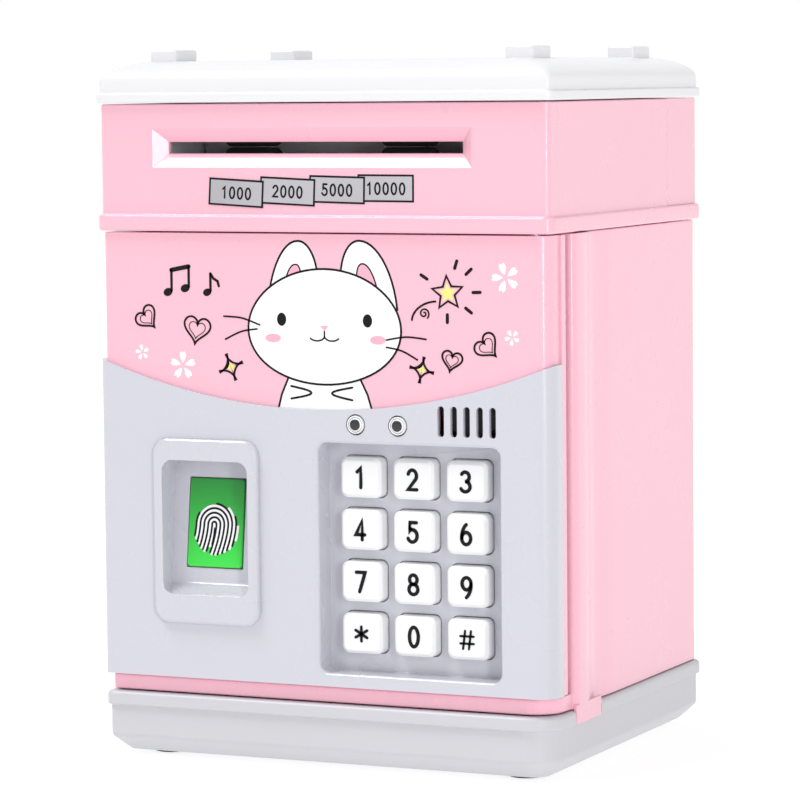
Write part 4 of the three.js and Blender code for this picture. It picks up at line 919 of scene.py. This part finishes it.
def fingerprint_window():
    profile = [(1, 2.5), (1, 1.75), (0, 1.7)]
    profile += round_line([(0, 1.6, 0), (0, -WINDOW_PROUD, 0.35), (-1, -WINDOW_PROUD, 0)])
    window = stack("finger_window", 0, 0, WINDOW_WIDTH / 2, WINDOW_LENGTH / 2,
                   lambda grow: 0.9 + grow * 0.3, profile, "y", FINE_STEPS)
    ridges, valleys = Print(-WINDOW_PROUD, 0.1), Print(-WINDOW_PROUD, 0.06)
    print_x, print_z, radius_x, radius_z = 0.2, -1.7, 6.6, 6.8
    pitch, ridge, step = 1.18, 0.56, 0.4
    core_x, core_z = print_x - 0.6, print_z + 1.3

    def drift(depth):
        """How far the legs of the arches lean to the left, a given depth under the core."""
        return 0.05 * depth ** 1.7

    def arches(reach):
        """An arch over the core with two legs, cut into the stretches that lie inside the print."""
        top = bow(core_x, core_z, reach, reach * 1.03, 180, 0, 28)
        depths = [step * i for i in range(1, 22)]
        lead = [(core_x - reach - drift(d), core_z - d) for d in reversed(depths)]
        tail = [(core_x + reach - drift(d), core_z - d) for d in depths]
        stretches, run = [], []
        for x, z in lead + top + tail:
            if math.hypot((x - print_x) / radius_x, (z - print_z) / radius_z) < 1:
                run.append((x, z))
            elif run:
                stretches.append(run)
                run = []
        return [stretch for stretch in stretches + [run] if len(stretch) > 3]

    for i in range(7):
        for stretch in arches(pitch * (i + 0.55)):
            ridges.line(stretch, ridge)
        for stretch in arches(pitch * (i + 1.05)):
            valleys.line(stretch, pitch - ridge + 0.08)
    valleys.line([(core_x - drift(step * i), core_z + 0.3 - step * i) for i in range(16)], pitch - 0.1)
    ridges.line([(core_x - drift(step * i) + 0.1, core_z - 1 - step * i) for i in range(12)], 0.34)
    window.data.transform(window_place())
    dress(window, window_green, "fingerprint_button", "green_window", "fingerprint_window")
    ridges.piece("print_ridges", ink, "fingerprint_button", "dark_plastic", window_place())
    valleys.piece("print_valleys", white_ink, "fingerprint_button", "white_shell", window_place())


# ---------------------------------------------------------------- lamps
def lamp(side, cad):
    """A clear rim, a clear dome and a dark core in its middle, turned round the lamp's axis."""
    front, face, lens_radius = cad.y0, face_y, 1.9
    bulge = (face - front - 0.05) * 0.9
    rim = [(2.44, face + 2), (2.44, face - 0.1), (2.3, face - 0.3), (2.05, face - 0.3),
           (1.95, face - 0.1), (1.95, face + 2)]
    lens = [(lens_radius, cad.y1), (lens_radius, face)]
    lens += [(lens_radius * c, face - 0.05 - bulge * s) for c, s in (turned(90 * i / 8) for i in range(9))]
    core = [(1.5, face), (1.5, front + 0.3), (1.2, front + 0.05), (0.6, front - 0.03), (0.25, front + 0.02)]
    for part, profile, material, steps, nodes in (
            ("rim", rim, lamp_glass, 40, ()), ("lens", lens, lamp_glass, 40, (f"indicator_led_{side}",)),
            ("core", core, lamp_core, 24, ())):
        form = turned_form(f"lamp_{part}_{side}", profile, cad.x, 0, cad.z, "y", steps)
        dress(form, material, "door", "lamp", *nodes)


# ---------------------------------------------------------------- prints
def heart(steps=40):
    """A heart about 1 unit wide, by a well-known formula."""
    points = []
    for i in range(steps):
        angle = 2 * math.pi * i / steps
        x = 16 * math.sin(angle) ** 3
        y = 13 * math.cos(angle) - 5 * math.cos(2 * angle) - 2 * math.cos(3 * angle) - math.cos(4 * angle)
        points.append((x / 32, (y + 2) / 32))
    return points


def star(tips, inner, start=90):
    """A star of unit radius."""
    points = []
    for i in range(2 * tips):
        c, s = turned(start + 180 * i / tips)
        reach = 1 if i % 2 == 0 else inner
        points.append((reach * c, reach * s))
    return points


def sparkle(steps=8):
    """A four-pointed star with hollow sides."""
    points = []
    away, hollow = 1.02, 0.76
    for corner in (45, 135, 225, 315):
        c, s = turned(corner)
        points += arc(c * away, s * away, hollow, corner + 180 + 41, corner + 180 - 41, steps)
    return points


def petal(angle):
    """A slender petal from the middle outwards, with a small notch at its tip."""
    half = [(0.2, 0.02), (0.45, 0.16), (0.72, 0.25), (0.92, 0.2), (1.0, 0.1)]
    return place_shape(half + [(0.86, 0)] + [(u, -v) for u, v in reversed(half)], 0, 0, 1, angle)


def door_prints():
    face = door.y0
    lines, whites, rose, yellow = Print(face, 0.09), Print(face, 0.03), Print(face, 0.045), Print(face, 0.03)
    thin = 0.54

    for x, z, size, tilt in ((-51.7, 118.9, 6.6, 42), (-36.9, 116.0, 7.9, -10),
                             (37.3, 109.3, 5.8, -12), (47.5, 113.2, 6.8, 45)):
        lines.line(close(place_shape(heart(), x, z, size, tilt)), thin)
        lines.line(close(place_shape(heart(), x, z, size * 0.62, tilt)), thin * 0.4)
    for x, z, size, tilt in ((-26.8, 106.4, 5.3, 22), (28.8, 106.9, 4.9, -12)):
        lines.line(close(place_shape(sparkle(), x, z, size, tilt)), thin)
        yellow.fill(place_shape(sparkle(), x, z, size * 0.5, tilt))
    for x, z, size, tilt in ((52.6, 131.2, 3.9, 18), (-41.2, 106.5, 3.8, 0),
                             (54.3, 115.8, 2.1, 30), (-53.5, 109.8, 2.1, 10)):
        for k in range(5):
            whites.fill(place_shape(petal(90 + 72 * k), x, z, size, tilt))

    star_x, star_z = 36.3, 127.0
    lines.line(close(place_shape(star(5, 0.46), star_x, star_z, 4.5, 4)), thin)
    yellow.fill(place_shape(star(5, 0.46), star_x, star_z, 2.6, 4))
    for x, z in ((29.7, 131.1), (38.7, 134.4), (42.3, 132.6), (44.5, 127.3), (42.2, 122.6), (36.2, 120.4)):
        out = Vector((x - star_x, z - star_z)).normalized()
        lines.line([(x - out.x, z - out.y), (x, z), (x + out.x, z + out.y)], 0.85)
    lines.line(bow(33.5, 119.4, 7.4, 5.4, 175, 95), thin)
    lines.line([(29.6 + r * c, 121.6 + r * s) for r, (c, s) in
                ((0.3 + 1.2 * i / 24, turned(90 - 500 * i / 24)) for i in range(25))], thin * 0.8)
    music_notes(lines)
    cat(lines, whites, rose)
    lines.piece("door_print_lines", ink, "door", "dark_plastic")
    whites.piece("door_print_white", white_ink, "door", "white_shell")
    rose.piece("door_print_rose", blush_ink, "door", "pink_shell")
    yellow.piece("door_print_yellow", yellow_ink, "door", "gear_plastic")


def music_notes(lines):
    """Two quavers with a beam, and a single one."""
    width = 0.7

    def head(x, z, size):
        lines.fill(place_shape(oval(0, 0, size, size * 0.78), x, z, 1, 20))

    head(-45.4, 126.1, 1.35)
    head(-40.2, 127.2, 1.35)
    lines.line([(-44.3, 126.5), (-44.3, 132.0)], width)
    lines.line([(-39.1, 127.6), (-39.1, 133.0)], width)
    lines.line([(-44.3, 132.0), (-39.1, 133.0)], 1.2)
    head(-33.6, 126.2, 1.25)
    lines.line([(-32.6, 126.6), (-32.6, 131.2)], width)
    lines.line([(-32.6, 131.2), (-31.7, 129.9), (-30.5, 129.2), (-30.1, 127.9)], width)


def cat(lines, whites, rose):
    """A plain line-drawn cat's head over two paws, with dot eyes and a small nose."""
    x, z, half_x, half_z = 0.8, 117.6, 22.2, 15.2
    thick = 0.56
    head = [(x + half_x * c * (1 - 0.05 * s), z + half_z * s) for c, s in map(turned, range(0, 360, 5))]

    def curve(*spans):
        """A line through cubic spans, each of four (x, z) points."""
        return [tuple(bezier(*map(Vector, span), i / 12)) for span in spans for i in range(13)]

    bottom = arc_low - 0.3
    body = [(-12.9, bottom), (-11.8, 99.6), (-9.8, 104), (11.2, 104), (13.2, 100), (14.6, bottom)]
    whites.fill(body, 0.02)
    lines.line(body[:3], thick, 0.055)
    lines.line(body[3:], thick, 0.055)
    ears = (
        (curve([(-15.2, 125.4), (-14.6, 132.0), (-11.2, 140.2), (-6.6, 140.1)],
               [(-6.4, 140.1), (-3.6, 139.9), (-1.6, 136), (-1.1, 132.0)]),
         curve([(-10.7, 128.6), (-10.0, 131.2), (-9.0, 133.9), (-7.5, 133.9)],
               [(-7.3, 133.9), (-6.4, 133.9), (-5.9, 132.9), (-5.8, 130.5)])),
        (curve([(5.8, 132.0), (6.2, 136.4), (8.0, 140.2), (11.1, 140.3)],
               [(11.3, 140.3), (15.8, 140.2), (20.8, 133.4), (22.0, 122.4)]),
         curve([(10.4, 130.6), (10.4, 133.0), (11.0, 134.3), (12.1, 134.3)],
               [(12.3, 134.3), (13.7, 134.1), (15.2, 131.8), (16.2, 128.0)])))
    for outer, small in ears:
        whites.fill(outer, 0.035)
        lines.line(outer, thick, 0.055)
        rose.fill(small, 0.045)
        lines.line(small, thick * 0.75, 0.055)
    whites.fill(head, 0.065)
    lines.line(close(head), thick)
    for sign, foot_x in ((-1, -9.0), (1, 8.8)):
        lines.line([(foot_x - sign * 5.9 * math.sin(math.pi * t), 101.8 - 3.3 * t)
                    for t in (i / 14 for i in range(15))], thick)
    for eye_x in (-11.6, 13.4):
        lines.fill(oval(eye_x, 119.4, 1.35, 1.75))
        rose.fill(oval(eye_x * 1.22, 114.4, 2.3, 1.15), 0.075)
    rose.fill([(-0.35, 117.9), (2.15, 117.9), (0.9, 116.4)], 0.075)
    lines.line([(0.9, 116.4), (0.9, 115.2)], thick * 0.8)
    for sign in (-1, 1):
        lines.line([(0.9 + sign * 2.2 * (1 - c), 115.2 - 1.3 * s)
                    for c, s in (turned(150 * i / 12) for i in range(13))], thick * 0.8)
    for first, second in (((-28.7, 119.9), (-18.1, 117.8)), ((-28.3, 113.8), (-18.9, 116.7)),
                          ((30.1, 114.9), (18.8, 114.5)), ((27.6, 109.5), (18.8, 112.6))):
        middle = ((first[0] + second[0]) / 2, (first[1] + second[1]) / 2 + 0.9)
        lines.line(curve([first, middle, middle, second]), thick * 0.85)


def bezier(a, b, c, d, t):
    return a * (1 - t) ** 3 + b * 3 * t * (1 - t) ** 2 + c * 3 * t * t * (1 - t) + d * t ** 3


def head_prints():
    """Four overlapping bank notes with round sums, under the bill slot."""
    face = Span("head_shell").y0 + BEAD_PROUD
    width, height = 15.6, 6.7
    texts = ("1000", "2000", "5000", "10000")
    middles = ((-24.3, 152.7, -3.2), (-9.2, 153.1, -2.6), (5.2, 153.6, -1.4), (19.2, 154.0, -0.3))
    for i, (text, (x, z, tilt)) in enumerate(zip(texts, middles)):
        lift = 0.05 * (4 - i)
        paper, edge, sums = Print(face, lift), Print(face, lift + 0.02), Print(face, lift + 0.02)
        corners = [(u * width / 2, v * height / 2) for u, v in ((-1, -1), (1, -1), (1, 1), (-1, 1))]
        outline = place_shape(corners, x, z, 1, tilt)
        paper.fill(outline)
        edge.line(close(outline), 0.5)
        paper.piece(f"note_paper_{text}", note_ink, "root", "grey_shell")
        edge.piece(f"note_edge_{text}", ink, "root", "dark_plastic")
        write(sums, text, x, z - 0.1, 1.9, 3.4, 0.52, 2.35, tilt)
        sums.piece(f"note_sum_{text}", ink, "root", "dark_plastic")


# ---------------------------------------------------------------- screws
def cross_screw(name, radius, length, x, y, z, axis, facing, body, *nodes):
    """A pan-head screw with a cross recess; facing is the sign of the head's side along the axis."""
    height = radius * 0.62
    shank, rim = radius * 0.42, height * 0.35
    profile = [(shank, -facing * length), (shank, 0), (radius, 0), (radius, facing * rim)]
    profile += [(radius * c, facing * (rim + (height - rim) * s))
                for c, s in map(turned, (15, 30, 45, 60, 75))]
    screw = turned_form(name, profile, x, y, z, axis, 28)
    reach, slot = radius * 0.62, radius * 0.17
    low, high = sorted((facing * rim, facing * height * 1.3))
    for half_u, half_v in ((reach, slot), (slot, reach)):
        bar = prism("bar", [(-half_u, -half_v), (half_u, -half_v), (half_u, half_v), (-half_u, half_v)],
                    low, high, axis)
        bar.data.transform(Matrix.Translation(Vector((x, y, z)) * MM))
        cut(screw, bar)
    return dress(screw, steel, body, "steel", *nodes)


def upward_screw(node, radius, shoulder, spare, body):
    """A screw from below in place of a CAD one; shoulder is the height of its head's seat."""
    cad = Span(node)
    cross_screw(f"{node}_fine", radius, cad.z1 - cad.z0 - shoulder - spare, cad.x, cad.y,
                cad.z0 + shoulder, "z", -1, body, node)


def screws():
    for corner in ("front_left", "front_right", "rear_left", "rear_right"):
        upward_screw(f"base_screw_{corner}", 2.5, 1.55, 0.05, "root")
    upward_screw("battery_cover_screw", 2.1, 1.3, 0.1, "battery_door")
    cover = Span("door_back_cover")
    for z in (cover.z0 + 3.2, (cover.z0 + cover.z1) / 2, cover.z1 - 3.2):
        cross_screw(f"cover_screw_{int(z)}", 1.7, 2.4, cover.x0 + 2.9, door.y1 - SEAM, z, "y", 1, "door")


# ---------------------------------------------------------------- the pieces
base_plinth()
body_shell()
head_shell()
head_rear_cover()
top_lid()
door_shell()
door_fascia()
for label in KEY_LABELS:
    key(label)
fingerprint_housing()
fingerprint_window()
for side, cad_lamp in zip(("left", "right"), lamps):
    lamp(side, cad_lamp)
door_prints()
head_prints()
screws()

for material, slot, edge, nodes in (
        (pink, "pink_shell", 0.4, "door_back_cover"),
        (base_grey, "grey_shell", 0.3, "battery_cover"),
        (inner, "inner_plastic", 0.25, "coin_chute mechanism_frame bill_guide"),
        (acetal, "gear_plastic", 0.08, "drive_gear motor_pinion"),
        (steel, "steel", 0.3, "feed_motor lock_bolt"),
        (steel, "steel", 0.2, "hinge_pin_top hinge_pin_bottom"),
        (steel, "steel", 0.15, "drive_shaft idler_shaft"),
        (steel, "steel", 0.1, "battery_contact_left battery_contact_right"),
        (rubber, "rubber", 0.3, "drive_roller_left drive_roller_right idler_roller_left idler_roller_right"),
        (rubber, "rubber", 0.15, "keypad_mat"),
        (rubber, "rubber", 0.4, "rubber_foot_front_left rubber_foot_front_right"),
        (rubber, "rubber", 0.4, "rubber_foot_rear_left rubber_foot_rear_right"),
        (board, "board", 0.1, "keypad_board fingerprint_board"),
        (dark, "dark_plastic", 0.3, "speaker"),
        (dark, "dark_plastic", 0.4, "lock_solenoid"),
        (sleeve, "cell_skin", 0.4, "battery_1 battery_2 battery_3")):
    for node in nodes.split():
        polish(node, material, edge)


# ---------------------------------------------------------------- studio
def area_light(name, place, target, width, height, power):
    data = bpy.data.lights.new(name, "AREA")
    data.shape, data.size, data.size_y, data.energy = "RECTANGLE", width, height, power
    obj = bpy.data.objects.new(name, data)
    obj.location = place
    obj.rotation_mode = "QUATERNION"
    obj.rotation_quaternion = (Vector(target) - Vector(place)).to_track_quat("-Z", "Y")
    bpy.context.scene.collection.objects.link(obj)


def glowing_plane(name, size, place, turn, albedo, roughness, glow):
    """A white plane that gives light of its own; it is part of the studio, not of the object."""
    bpy.ops.mesh.primitive_plane_add(size=size, location=place, rotation=turn)
    plane = bpy.context.active_object
    plane.name = name
    plane.data.materials.append(shader_of(f"{name}_paint", (albedo,) * 3, roughness, Specular_IOR_Level=0,
                                          Emission_Color=(1, 1, 1, 1), Emission_Strength=glow))


def studio():
    world = bpy.data.worlds.new("studio")
    bpy.context.scene.world = world
    world.use_nodes = True
    world.node_tree.nodes["Background"].inputs["Color"].default_value = (1, 1, 1, 1)
    world.node_tree.nodes["Background"].inputs["Strength"].default_value = 0.58
    sun = bpy.data.lights.new("top_light", "SUN")
    sun.energy, sun.angle = 1.7, math.radians(24)
    lamp_object = bpy.data.objects.new("top_light", sun)
    lamp_object.rotation_mode = "QUATERNION"
    lamp_object.rotation_quaternion = Vector((0.38, 0.3, -0.87)).to_track_quat("-Z", "Y")
    bpy.context.scene.collection.objects.link(lamp_object)
    area_light("edge_light", (1.15, -1.15, 0.2), (0, 0, 0.1), 0.2, 1.2, 11)
    glowing_plane("floor", 30, (0, 0, 0), (0, 0, 0), 0.35, 0.7, 0.76)
    upright = (math.radians(90), 0, math.radians(24.6))
    glowing_plane("backdrop", 12, (-1.2, 2.6, 0), upright, 0, 1, 1.0)
    bpy.context.scene.view_settings.view_transform = "Standard"
    bpy.context.scene.view_settings.look = "None"


studio()
